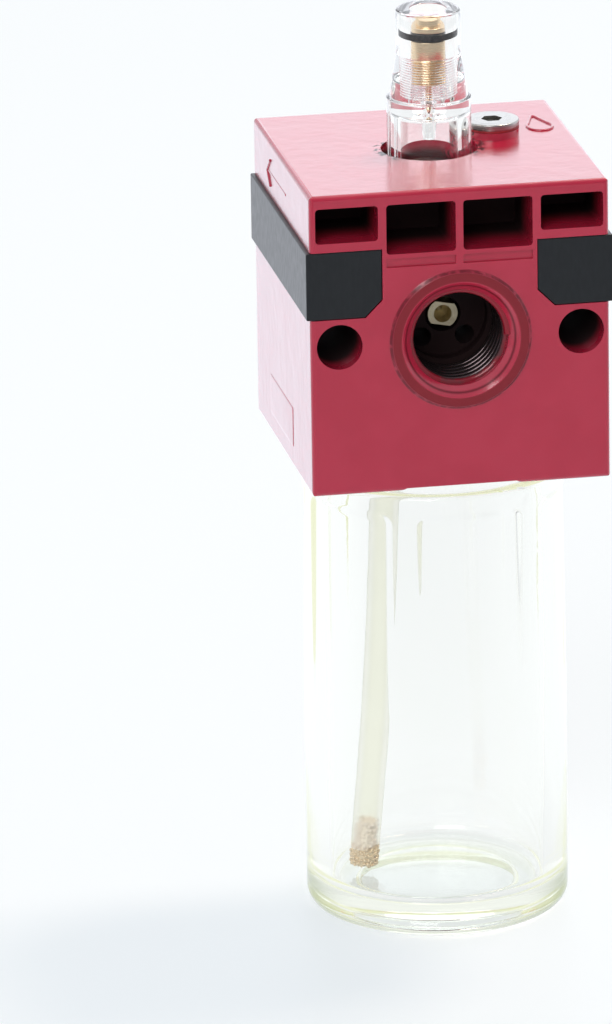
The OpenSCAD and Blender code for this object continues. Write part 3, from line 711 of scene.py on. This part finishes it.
def sintered_grains():
    """Sintered bronze balls, tarnished between the grains, and painted pale on the spigot in the tube as
    painted light for what the milky tube keeps from it.
    """
    material, tree, shader, spot = finish_start("sintered_bronze_grains")
    stain = place(tree, SPECKS, spot, Scale=1500.0, Cover=0.9).outputs["Mask"]
    film = place(tree, THICK_FILM, spot, Peel_Scale=4000.0, Sag_Scale=1400.0).outputs
    grains = mix_node(tree, film["Blotch"], (0.13, 0.065, 0.025), (0.66, 0.48, 0.27))
    grains = mix_node(tree, stain, grains, (0.78, 0.63, 0.42))
    tube_end = TUBE_TOP.z - TUBE_DROP
    spigot = step_node(tree, millimetres(tree, spot)[2], tube_end, tube_end + 0.3)
    # Painted light: the spigot is pale and less metallic to make up for the light the tube keeps from it
    coloured(tree, shader, spigot, grains, (0.97, 0.88, 0.80))
    roughened(tree, shader, film["Blotch"], 0.2, 0.35)
    join(tree, math_node(tree, "MULTIPLY_ADD", spigot, -0.6, 0.7), shader.inputs["Metallic"])
    return material


RED = red_enamel()
THREAD = thread_metal()
STRIP = strip_plastic()
# The bowl's glow colour is painted light; its floor and foot colours carry painted shade
BOWL_CLEAR = clear_plastic(
    "bowl_clear", (0.995, 0.997, 0.992), 0.00003, (0.58, 0.64, 0.25), 7.0, (0.48, 0.49, 0.38),
    ((0.79, 0.825, 0.80), (0.42, 0.47, 0.30)),
)
# The dome's glow colour is painted light
DOME_CLEAR = clear_plastic(
    "dome_clear", (0.99, 0.992, 0.99), 0.00002, (0.7, 0.75, 0.7), 6.0, (0.40, 0.41, 0.43)
)
TUBE = tube_plastic()
RUBBER = seal_rubber()
FIBRE = red_fibre()
BRASS_SCREW = turned_metal(
    "screw_brass", ((0.90, 0.71, 0.48), (0.94, 0.75, 0.53), (0.80, 0.58, 0.36)),
    (0, 0, BODY_TOP + 13), rough=(0.26, 0.04), depth=0.000001,
)
BRASS_JET = turned_metal(
    "jet_brass", ((0.88, 0.76, 0.48), (0.97, 0.88, 0.64), (0.72, 0.58, 0.34)),
    (0, 0, PORT_Z), (90, 0, 0), lines=4000.0, rough=(0.38, 0.12),
)
BRASS_NIPPLE = turned_metal(
    "nipple_brass", ((0.74, 0.58, 0.32), (0.85, 0.70, 0.44), (0.55, 0.42, 0.22)), TUBE_TOP
)
PLATE_NICKEL = turned_metal(
    "plug_plate", ((0.45, 0.45, 0.43), (0.56, 0.56, 0.54), (0.36, 0.36, 0.34)),
    (*PLUG_AT, PLUG_HEAD_Z), rough=(0.20, 0.14),
)
BALL_STEEL = turned_metal(
    "ball_steel", ((0.62, 0.62, 0.62), (0.70, 0.70, 0.70), (0.52, 0.52, 0.52)), TUBE_TOP, rough=(0.1, 0.05)
)
GRAINS = sintered_grains()


# Geometry Nodes trees


def node_tree(name, *sizes):
    """A Geometry Nodes tree with a geometry in and out, named size inputs and a material."""
    inputs = [(label, "Int" if label == "Seed" else "Float") for label in sizes] + [("Material", "Material")]
    tree = bpy.data.node_groups.new(name, "GeometryNodeTree")
    tree.is_modifier = True
    tree.interface.new_socket("Geometry", in_out="INPUT", socket_type="NodeSocketGeometry")
    for label, kind in inputs:
        tree.interface.new_socket(label, in_out="INPUT", socket_type="NodeSocket" + kind)
    tree.interface.new_socket("Geometry", in_out="OUTPUT", socket_type="NodeSocketGeometry")
    return tree, add(tree, "NodeGroupInput"), add(tree, "NodeGroupOutput")


def finished_tree(tree, start, end, geometry):
    """Ends a tree in Realize Instances and Set Material."""
    real = add(tree, "GeometryNodeRealizeInstances")
    join(tree, geometry, real.inputs["Geometry"])
    paint = add(tree, "GeometryNodeSetMaterial")
    join(tree, real.outputs["Geometry"], paint.inputs["Geometry"])
    join(tree, start.outputs["Material"], paint.inputs["Material"])
    join(tree, paint.outputs["Geometry"], end.inputs["Geometry"])
    return tree


def bead(tree, curve, radius):
    """A round section swept along a curve, with closed ends."""
    section = add(tree, "GeometryNodeCurvePrimitiveCircle")
    section.inputs["Resolution"].default_value = 12
    join(tree, radius, section.inputs["Radius"])
    skin = add(tree, "GeometryNodeCurveToMesh")
    join(tree, curve, skin.inputs["Curve"])
    join(tree, section.outputs["Curve"], skin.inputs["Profile Curve"])
    skin.inputs["Fill Caps"].default_value = True
    return skin.outputs["Mesh"]


def thread_coil_tree():
    """A helical ridge of round section: its outer half lies in the wall that carries it."""
    tree, start, end = node_tree("thread_coil", "Radius", "Pitch", "Turns", "Depth")
    coil = add(tree, "GeometryNodeCurveSpiral")
    coil.inputs["Resolution"].default_value = 72
    join(tree, start.outputs["Turns"], coil.inputs["Rotations"])
    join(tree, start.outputs["Radius"], coil.inputs["Start Radius"])
    join(tree, start.outputs["Radius"], coil.inputs["End Radius"])
    height = math_node(tree, "MULTIPLY", start.outputs["Turns"], start.outputs["Pitch"])
    join(tree, height, coil.inputs["Height"])
    upright = add(tree, "GeometryNodeSetCurveNormal", mode="Z_UP")
    join(tree, coil.outputs["Curve"], upright.inputs["Curve"])
    return finished_tree(tree, start, end, bead(tree, upright.outputs["Curve"], start.outputs["Depth"]))


def cast_ridge_tree():
    """A half-sunk round ridge that follows the edges of a drawn line, with eased corners."""
    tree, start, end = node_tree("cast_ridge", "Ridge Radius", "Corner Radius")
    line = add(tree, "GeometryNodeMeshToCurve")
    join(tree, start.outputs["Geometry"], line.inputs["Mesh"])
    eased = add(tree, "GeometryNodeFilletCurve", mode="POLY")
    eased.inputs["Count"].default_value = 5
    eased.inputs["Limit Radius"].default_value = True
    join(tree, line.outputs["Curve"], eased.inputs["Curve"])
    join(tree, start.outputs["Corner Radius"], eased.inputs["Radius"])
    return finished_tree(tree, start, end, bead(tree, eased.outputs["Curve"], start.outputs["Ridge Radius"]))


def sinter_tree():
    """Small balls pressed together over a core."""
    tree, start, end = node_tree("sintered_balls", "Ball Radius", "Spacing", "Seed")
    spread = add(tree, "GeometryNodeDistributePointsOnFaces", distribute_method="POISSON")
    join(tree, start.outputs["Geometry"], spread.inputs["Mesh"])
    join(tree, start.outputs["Spacing"], spread.inputs["Distance Min"])
    spread.inputs["Density Max"].default_value = 4.0e7
    join(tree, start.outputs["Seed"], spread.inputs["Seed"])
    ball = add(tree, "GeometryNodeMeshIcoSphere")
    ball.inputs["Subdivisions"].default_value = 2
    join(tree, start.outputs["Ball Radius"], ball.inputs["Radius"])
    size = add(tree, "FunctionNodeRandomValue", data_type="FLOAT")
    size.inputs[2].default_value, size.inputs[3].default_value = 0.7, 1.15
    join(tree, start.outputs["Seed"], size.inputs["Seed"])
    copies = add(tree, "GeometryNodeInstanceOnPoints")
    join(tree, spread.outputs["Points"], copies.inputs["Points"])
    join(tree, ball.outputs["Mesh"], copies.inputs["Instance"])
    join(tree, size.outputs[1], copies.inputs["Scale"])
    both = add(tree, "GeometryNodeJoinGeometry")
    join(tree, copies.outputs["Instances"], both.inputs["Geometry"])
    join(tree, start.outputs["Geometry"], both.inputs["Geometry"])
    return finished_tree(tree, start, end, both.outputs["Geometry"])


def grown(obj, tree, **values):
    """Runs a tree on an object and keeps the result as its plain mesh."""
    change = obj.modifiers.new(tree.name, "NODES")
    change.node_group = tree
    for item in tree.interface.items_tree:
        label = item.name.replace(" ", "_")
        if item.item_type == "SOCKET" and item.in_out == "INPUT" and label in values:
            change[item.identifier] = values[label]
    return settled(obj)


THREAD_COIL = thread_coil_tree()
CAST_RIDGE = cast_ridge_tree()
SINTER = sinter_tree()


# The casting and what is cast or screwed into it


def casting():
    dress(softened("body_casting", "body", 0.32), RED, "head", "red_paint", "body")


def port_threads():
    """Pipe threads of both ports, as ridges that stand in from the bored wall."""
    pitch, depth, turns = 1.337, 0.6, 6.6
    for name, side in (("inlet_thread", -1), ("outlet_thread", 1)):
        obj = grown(
            link(name, bpy.data.meshes.new(name)), THREAD_COIL,
            Radius=THREAD_R * MM, Pitch=pitch * MM, Turns=turns, Depth=depth * MM, Material=THREAD,
        )
        mouth = Matrix.Translation(Vector((0, side * THREAD_START, PORT_Z)) * MM)
        turn = Matrix.Rotation(math.radians(90 * side), 4, "X")
        obj.data.transform(mouth @ turn)
        smooth(obj.data, 60)
        dress(obj, None, "head", "red_paint")


def drawn_line(name, points, loop=False):
    """A line of edges in millimetres, for a ridge to follow."""
    mesh = bpy.data.meshes.new(name)
    count = len(points)
    edges = [(i, (i + 1) % count) for i in range(count if loop else count - 1)]
    mesh.from_pydata([tuple(v * MM for v in p) for p in points], edges, [])
    return link(name, mesh)


def cast_signs():
    """The flow arrow and the bare plate on the left side, and an oil-drop sign on top."""
    x, high, tail, tip = -BODY_HALF, BODY_TOP - 4.3, -3.2, 9.6
    barb_long, barb_wide = 2.1, 1.75
    shaft = drawn_line("arrow_shaft", [(x, tail, high), (x, tip, high)])
    barbs = [(x, tip - barb_long, high + side * barb_wide) for side in (1, -1)]
    head = drawn_line("arrow_head", [barbs[0], (x, tip, high), barbs[1]])
    drop_x, drop_y, drop_tip, drop_wide, drop_long = 16.3, 6.6, 12.2, 1.7, 2.2
    turns = [math.radians(a) for a in range(-40, 221, 20)]
    bulb = [(drop_x + drop_wide * math.cos(a), drop_y - drop_long * math.sin(a), BODY_TOP) for a in turns]
    drop = drawn_line("oil_drop_sign", [*bulb, (drop_x, drop_tip, BODY_TOP)], True)
    on_side = Matrix.Translation((x * MM, 0, 0))
    for sign, radius, rise in ((shaft, 0.18, 0.4), (head, 0.22, 1), (drop, 0.22, 1)):
        grown(sign, CAST_RIDGE, Ridge_Radius=radius * MM, Corner_Radius=0.3 * MM, Material=RED)
        sign.data.transform(on_side @ Matrix.Diagonal((rise, 1, 1, 1)) @ on_side.inverted())
        smooth(sign.data, 50)
        dress(sign, None, "head", "red_paint")
    bare_plate(x)


def bare_plate(x):
    """A thin raised plate with round corners: a round-edged block pressed nearly flat."""
    long, high, corner, flat = 16.4, 5.5, 0.45, 0.16
    at = Vector((x, 1.7, 69.6))
    block = bmesh.new()
    bmesh.ops.create_cube(block, size=1)
    bmesh.ops.transform(block, verts=block.verts, matrix=Matrix.Diagonal((MM, long * MM, high * MM, 1)))
    mesh = bpy.data.meshes.new("bare_plate")
    block.to_mesh(mesh)
    block.free()
    plate = link("bare_plate", mesh)
    change = plate.modifiers.new("edges", "BEVEL")
    change.width, change.segments = corner * MM, 5
    settled(plate)
    plate.data.transform(Matrix.Translation(at * MM) @ Matrix.Diagonal((flat, 1, 1, 1)))
    smooth(plate.data, 40)
    dress(plate, RED, "head", "red_paint")


def strips():
    for name, node in (("left_strip_bar", "left_strip"), ("right_strip_bar", "right_strip")):
        dress(softened(name, node, 0.18), STRIP, "head", "black_plastic", node)


def jet_and_nipple():
    jet = softened("air_jet", "inlet_jet", 0.06, segments=2)
    dress(jet, BRASS_JET, "head", "brass", "inlet_jet")
    nipple = softened("tube_nipple", "tube_connector", 0.05, segments=2)
    dress(nipple, BRASS_NIPPLE, "head", "brass", "tube_connector")
    dress(softened("steel_ball", "check_ball", 0), BALL_STEEL, "check_ball", "nickel_plate", "check_ball")


# The sight dome, its screw and the oil plug


def dome():
    """The clear dome: foot, ledge, cone and cap outside; bore, thread, spout and drip chamber inside."""
    ledge, cap, top = BODY_TOP + 7.2, BODY_TOP + 13.1, BODY_TOP + 19.1
    ceiling, bottom, thread_top = BODY_TOP + 4.9, BODY_TOP + 6.4, BODY_TOP + 12.4
    foot_r, cone_r, cap_r, mouth_r, bore_r, chamber_r = 5.62, 5.2, 4.3, 2.4, 2.35, 3.75
    hole_r, spout_tip_r, spout_r, spout_end = 0.55, 0.85, 1.1, ceiling - 3.4
    way_x, way_r, thread_low = -4.7, 0.45, bottom + 0.5
    wall = [(bore_r, z) for z in rows(thread_top, thread_low, SCREW_PITCH / 7)]
    loop = [
        (foot_r, SEAT_Z, 0.2), (foot_r, ledge, 0.35), (cone_r, ledge, 0.9), (cap_r, cap, 0.25),
        (cap_r, top, 0.4), (mouth_r, top, 0.2), (mouth_r, thread_top + 0.15, 0.03), *wall,
        (bore_r, bottom, 0.15), (hole_r, bottom, 0.08), (hole_r, spout_end, 0.06),
        (spout_tip_r, spout_end, 0.1), (spout_r, ceiling, 0.25), (chamber_r, ceiling, 0.5),
        (chamber_r, SEAT_Z, 0.15),
    ]

    def cut(angle, r, z):
        in_bore = (np.abs(r - bore_r) < 0.01) & (z > thread_low - 0.1) & (z < thread_top + 0.1)
        return np.where(in_bore, -thread_cut(angle, z, thread_low, thread_top, SCREW_PITCH, 0.06), 0)

    obj = link("dome_shell", turned("dome_shell", rounded(loop, True), 128, True, cut))
    carve(obj, prism("oil_way_cutter", circle((way_x, 0), way_r, 24), SEAT_Z - 1, bottom + 0.45))
    smooth(obj.data, 40)
    dress(obj, DOME_CLEAR, "head", "clear_plastic", "sight_dome")


def o_ring(name, ring_r, section_d, z, body, node, bulge=0.0, bore=None):
    """A round-section ring. In a bore its outer side bulges and is pressed flat against the wall."""
    half, turns = section_d / 2, np.linspace(0, 2 * math.pi, 48, endpoint=False)
    r = ring_r + half * np.cos(turns) + bulge * np.maximum(np.cos(turns), 0)
    if bore is not None:
        r = np.minimum(r, bore)
    mesh = turned(name, np.stack([r, z + half * np.sin(turns)], -1), 128, True)
    mesh.shade_smooth()
    dress(link(name, mesh), RUBBER, body, "seal_rubber", node)


def needle_screw():
    """Head with its slot, O-ring groove, shank, fine thread and needle."""
    head, groove, shank, end = BODY_TOP + 17.8, BODY_TOP + 16.25, BODY_TOP + 15.05, BODY_TOP + 9.05
    collar, thread_top, taper, tip = head - 0.9, shank - 2.5, BODY_TOP + 5.9, BODY_TOP + 5.0
    head_r, shank_r, groove_r, needle_r, tip_r = 1.68, 2.3, 1.28, 0.45, 0.11
    slot_reach, slot_half, slot_depth = 3.0, 0.3, 0.55
    thread = [(shank_r, z) for z in rows(thread_top - 0.05, end + 0.05, SCREW_PITCH / 7)]
    loop = [
        (0, head), (head_r, head, 0.12), (head_r, collar, 0.05), (shank_r, collar, 0.08),
        (shank_r, groove, 0.05), (groove_r, groove), (groove_r, shank), (shank_r, shank, 0.08),
        (shank_r, thread_top), *thread, (shank_r, end, 0.1), (needle_r, end, 0.1), (needle_r, taper),
        (tip_r, tip, 0.05), (0, tip),
    ]

    def cut(angle, r, z):
        on_thread = (np.abs(r - shank_r) < 0.01) & (z > end - 0.02) & (z < thread_top)
        return np.where(on_thread, thread_cut(angle, z, end, thread_top, SCREW_PITCH, 0.16), 0)

    obj = link("needle_screw", turned("needle_screw", rounded(loop), 96, False, cut))
    corners = ((-1, -1), (1, -1), (1, 1), (-1, 1))
    slot = [(x * slot_reach, y * slot_half) for x, y in corners]
    carve(obj, prism("slot_cutter", slot, head - slot_depth, head + 1))
    smooth(obj.data, 40)
    dress(obj, BRASS_SCREW, "adjusting_screw", "brass", "adjusting_screw")


def oil_plug():
    """The plated plug with its hex socket and thread, and the fibre washer under its head."""
    top, end, thread_top = PLUG_HEAD_Z + 0.85, PLUG_HEAD_Z - 5.5, PLUG_HEAD_Z - 0.3
    head_r, thread_r, thread_depth = 3.63, 2.45, 0.4
    across_flats, socket_depth, washer_bore_r, washer_thick = 2.5, 1.6, 2.5, 0.3
    thread = [(thread_r, z) for z in rows(thread_top, end + 0.3, 0.1)]
    loop = [
        (0, top), (head_r, top, 0.16), (head_r, PLUG_HEAD_Z, 0.06), (thread_r, PLUG_HEAD_Z, 0.05), *thread,
        (thread_r, end, 0.2), (0, end),
    ]

    def cut(angle, r, z):
        on_thread = (np.abs(r - thread_r) < 0.01) & (z < thread_top + 0.05)
        return np.where(on_thread, thread_cut(angle, z, end + 0.2, thread_top, PLUG_PITCH, thread_depth), 0)

    obj = link("oil_plug", turned("oil_plug", rounded(loop), 96, False, cut, PLUG_AT))
    hexagon = circle(PLUG_AT, across_flats / 2 / math.cos(math.radians(30)), 6)
    carve(obj, prism("hex_cutter", hexagon, top - socket_depth, top + 1))
    smooth(obj.data, 40)
    dress(obj, PLATE_NICKEL, "fill_plug", "nickel_plate", "fill_plug")
    corners = ((washer_bore_r, 0), (head_r, 0), (head_r, washer_thick), (washer_bore_r, washer_thick))
    ring = [(r, WASHER_Z + h, 0.06) for r, h in corners]
    mesh = turned("plug_washer", rounded(ring, True), 96, True, None, PLUG_AT)
    dress(link("plug_washer", smooth(mesh, 50)), FIBRE, "plug_seal", "red_fibre", "fill_plug_seal")


# The siphon and the bowl


def tube_place(angle):
    """A point on the siphon's arc and its direction."""
    away = Vector((math.cos(TUBE_DIR), math.sin(TUBE_DIR), 0))
    down = Vector((0, 0, -1))
    point = TUBE_TOP + (away * (1 - math.cos(angle)) + down * math.sin(angle)) * TUBE_CURVE_R
    return point, away * math.sin(angle) + down * math.cos(angle)


def siphon():
    """The curved tube, and the sintered strainer whose spigot sits in its lower end."""
    outer_r, inner_r = 1.95, 1.2
    arc = math.asin(TUBE_DROP / TUBE_CURVE_R)
    angles = list(np.linspace(0, arc, 41))
    turns = np.linspace(0, 2 * math.pi, 48, endpoint=False)
    side = Vector((-math.sin(TUBE_DIR), math.cos(TUBE_DIR), 0))
    rings = []
    for angle, radius in [(a, outer_r) for a in angles] + [(a, inner_r) for a in reversed(angles)]:
        point, along = tube_place(angle)
        other = along.cross(side)
        rings.append([tuple(point + (side * math.cos(t) + other * math.sin(t)) * radius) for t in turns])
    mesh = smooth(ring_skin("oil_tube", rings, True), 40)
    dress(link("oil_tube", mesh), TUBE, "head", "tube_plastic", "siphon_tube")
    spigot_r, spigot_len, head_r, head_len = 1.16, 4.0, 1.78, 2.35
    core = [
        (0, spigot_len), (spigot_r, spigot_len, 0.1), (spigot_r, 0.0), (head_r, 0.0, 0.1),
        (head_r, -head_len, 0.3), (0, -head_len),
    ]
    obj = link("tube_strainer", turned("tube_strainer", rounded(core), 48))
    grown(obj, SINTER, Ball_Radius=0.28 * MM, Spacing=0.48 * MM, Seed=7, Material=GRAINS)
    end, along = tube_place(arc)
    lean = Vector((0, 0, -1)).rotation_difference(along).to_matrix().to_4x4()
    obj.data.transform(Matrix.Translation(end * MM) @ lean)
    obj.data.shade_smooth()
    dress(obj, None, "head", "sintered_bronze", "tube_filter")


def flute_cut(angle, z):
    """Depth of the grip flutes: sides that draw in round at the top, a soft top and a run-out below."""
    share = 2 * math.pi / FLUTE_COUNT
    off = np.mod(angle - FLUTE_AT + share / 2, share) - share / 2
    into_corner = np.clip(z - FLUTE_TOP + FLUTE_CORNER, 0, FLUTE_CORNER)
    drawn_in = FLUTE_CORNER - np.sqrt(FLUTE_CORNER**2 - into_corner**2)
    outside = np.abs(np.sin(off)) * BOWL_R - FLUTE_W / 2 + drawn_in
    side = 1 - ease(outside, -FLUTE_SIDE, 0.1)
    run_out = np.clip((z - FLUTE_TOP + FLUTE_LEN) / FLUTE_LEN, 0, 1)
    return FLUTE_DEPTH * side * ease(FLUTE_TOP - z, 0, FLUTE_SOFT) * run_out


def oil_bowl():
    """The clear bowl: recessed base, fluted wall, shoulder and threaded neck outside, a plain bore inside."""
    recess_r, recess, floor_top, base_round = 11.0, 1.5, 4.0, 3.0
    thread_low, thread_top, thread_depth = 65.0, 72.4, 0.75
    low_rows, flute_rows, top_rows = rows(5.0, 31.0, 2.6), rows(32.0, 55.0, 2.3), rows(55.2, 60.2, 0.15)
    wall = [(BOWL_R, z) for z in low_rows + flute_rows + top_rows]
    neck = [(NECK_R, z) for z in rows(thread_low, thread_top, 0.19)]
    profile = [
        (0, recess), (recess_r, recess, 0.5), (recess_r, 0, 0.35), (BOWL_R, 0, base_round), *wall,
        (BOWL_R, SHOULDER_Z, 1.0), (NECK_R, SHOULDER_Z, 0.3), *neck, (NECK_R, NECK_TOP, 0.3),
        (BOWL_BORE_R, NECK_TOP, 0.4), *((BOWL_BORE_R, z) for z in (SHOULDER_Z, 40.0, 20.0)),
        (BOWL_BORE_R, floor_top, 2.0), (0, floor_top),
    ]

    def cut(angle, r, z):
        on_neck = (np.abs(r - NECK_R) < 0.01) & (z > thread_low - 0.1) & (z < thread_top + 0.2)
        on_wall = (np.abs(r - BOWL_R) < 0.01) & (z < FLUTE_TOP + 0.9)
        thread = thread_cut(angle, z, thread_low, thread_top, BOWL_PITCH, thread_depth)
        return np.where(on_neck, thread, np.where(on_wall, flute_cut(angle, z), 0))

    mesh = turned("oil_bowl", rounded(profile, steps=8), 540, False, cut)
    dress(link("oil_bowl", smooth(mesh, 40)), BOWL_CLEAR, "bowl", "clear_plastic", "bowl")


casting()
port_threads()
cast_signs()
strips()
jet_and_nipple()
dome()
needle_screw()
oil_plug()
siphon()
oil_bowl()
o_ring("dome_ring_seal", 6.035, 0.79, BODY_TOP - 2.505, "head", "dome_seal")
o_ring("screw_ring_seal", 1.84, 1.08, BODY_TOP + 15.65, "screw_seal", "adjusting_screw_seal", 0.4, 2.42)
o_ring("bowl_ring_seal", 15.55, 1.8, 74.45, "bowl_seal", "bowl_seal")


# Studio


def ray_kinds(tree):
    """Light Path's kinds of ray, and a mask for reflections that no clear piece has bent."""
    rays = add(tree, "ShaderNodeLightPath").outputs
    direct = math_node(tree, "LESS_THAN", rays["Transmission Depth"], 0.5)
    return rays, math_node(tree, "MULTIPLY", rays["Is Glossy Ray"], direct)


def white_but_for_gloss(tree, rays, reflected):
    """A strength of 1, or what glossy rays are to see."""
    plain = math_node(tree, "SUBTRACT", 1.0, rays["Is Glossy Ray"])
    return math_node(tree, "MULTIPLY_ADD", reflected, rays["Is Glossy Ray"], plain)


def mixed_surface(tree, share, first, second, output):
    """Ends a tree in a mix of two shaders."""
    both = add(tree, "ShaderNodeMixShader")
    for source, socket in zip((share, first.outputs[0], second.outputs[0]), both.inputs):
        join(tree, source, socket)
    join(tree, both.outputs[0], tree.nodes[output].inputs["Surface"])


def floor():
    """A pale floor that keeps the shadow. Clear plastic sees it white, and gloss sees it darken in front."""
    half, below = 6, 0.00005
    mesh = bpy.data.meshes.new("studio_floor")
    corners = [(-half, -half, 0), (half, -half, 0), (half, half, 0), (-half, half, 0)]
    mesh.from_pydata(corners, [], [(0, 1, 2, 3)])
    obj = link("studio_floor", mesh)
    obj.location.z = -below
    material, tree, shader, spot = finish_start("studio_floor")
    settings(shader, Base_Color=(0.84, 0.90, 0.96, 1), Roughness=0.45, Specular_IOR_Level=0.3)
    glow = add(tree, "ShaderNodeEmission")
    rays, gloss = ray_kinds(tree)
    pale = mix_node(tree, rays["Is Camera Ray"], (0.965, 0.99, 1.0), (0.92, 0.965, 0.985))
    join(tree, mix_node(tree, gloss, pale, (0.88, 0.92, 1.0)), glow.inputs["Color"])
    toward_back = step_node(tree, millimetres(tree, spot)[1], -180.0, 180.0)
    reflected = math_node(tree, "MULTIPLY_ADD", toward_back, 0.92, 0.5)
    reflected = math_node(tree, "MINIMUM", reflected, math_node(tree, "ADD", gloss, 1.05))
    join(tree, white_but_for_gloss(tree, rays, reflected), glow.inputs["Strength"])
    by_camera = math_node(tree, "MULTIPLY", rays["Is Camera Ray"], 0.6)
    seen = largest(tree, rays["Is Glossy Ray"], rays["Is Transmission Ray"], by_camera)
    mixed_surface(tree, seen, shader, glow, "Material Output")
    mesh.materials.append(material)


def world():
    """White behind the object and through clear plastic, and dim in front of it for gloss."""
    sky = bpy.data.worlds.new("studio_world")
    bpy.context.scene.world = sky
    sky.use_nodes = True
    tree = sky.node_tree
    light = tree.nodes["Background"]
    settings(light, Color=(0.97, 0.985, 1.0, 1), Strength=0.55)
    white = add(tree, "ShaderNodeBackground")
    rays, gloss = ray_kinds(tree)
    join(tree, mix_node(tree, gloss, (0.965, 0.985, 1.0), (0.90, 0.93, 1.0)), white.inputs["Color"])
    way = add(tree, "ShaderNodeSeparateXYZ")
    join(tree, add(tree, "ShaderNodeTexCoord").outputs["Generated"], way.inputs[0])
    reflected = math_node(tree, "MULTIPLY_ADD", step_node(tree, way.outputs["Y"], -0.75, 0.1), 0.8, 0.2)
    join(tree, white_but_for_gloss(tree, rays, reflected), white.inputs["Strength"])
    seen = largest(tree, rays["Is Camera Ray"], rays["Is Glossy Ray"], rays["Is Transmission Ray"])
    mixed_surface(tree, seen, light, white, "World Output")


def softbox(name, at, width, height, power, colour=(1, 1, 1)):
    """A soft lamp that shines at the object's middle."""
    middle = Vector((0, 0, 0.07))
    lamp = bpy.data.lights.new(name, "AREA")
    lamp.shape, lamp.size, lamp.size_y, lamp.energy = "RECTANGLE", width, height, power
    lamp.color = colour
    obj = link(name, lamp)
    obj.location = at
    obj.rotation_euler = (middle - Vector(at)).to_track_quat("-Z", "Y").to_euler()
    obj.visible_camera = False


floor()
world()
softbox("key_box", (0.46, 0.26, 1.15), 0.25, 0.25, 8.0, (1.0, 0.8, 0.62))
softbox("front_box", (-0.55, -1.0, 0.95), 0.8, 0.8, 8.0)
softbox("back_box", (0.17, 0.92, 0.40), 0.6, 0.45, 0.6, (0.90, 0.93, 1.0))
bpy.context.scene.view_settings.view_transform = "Standard"
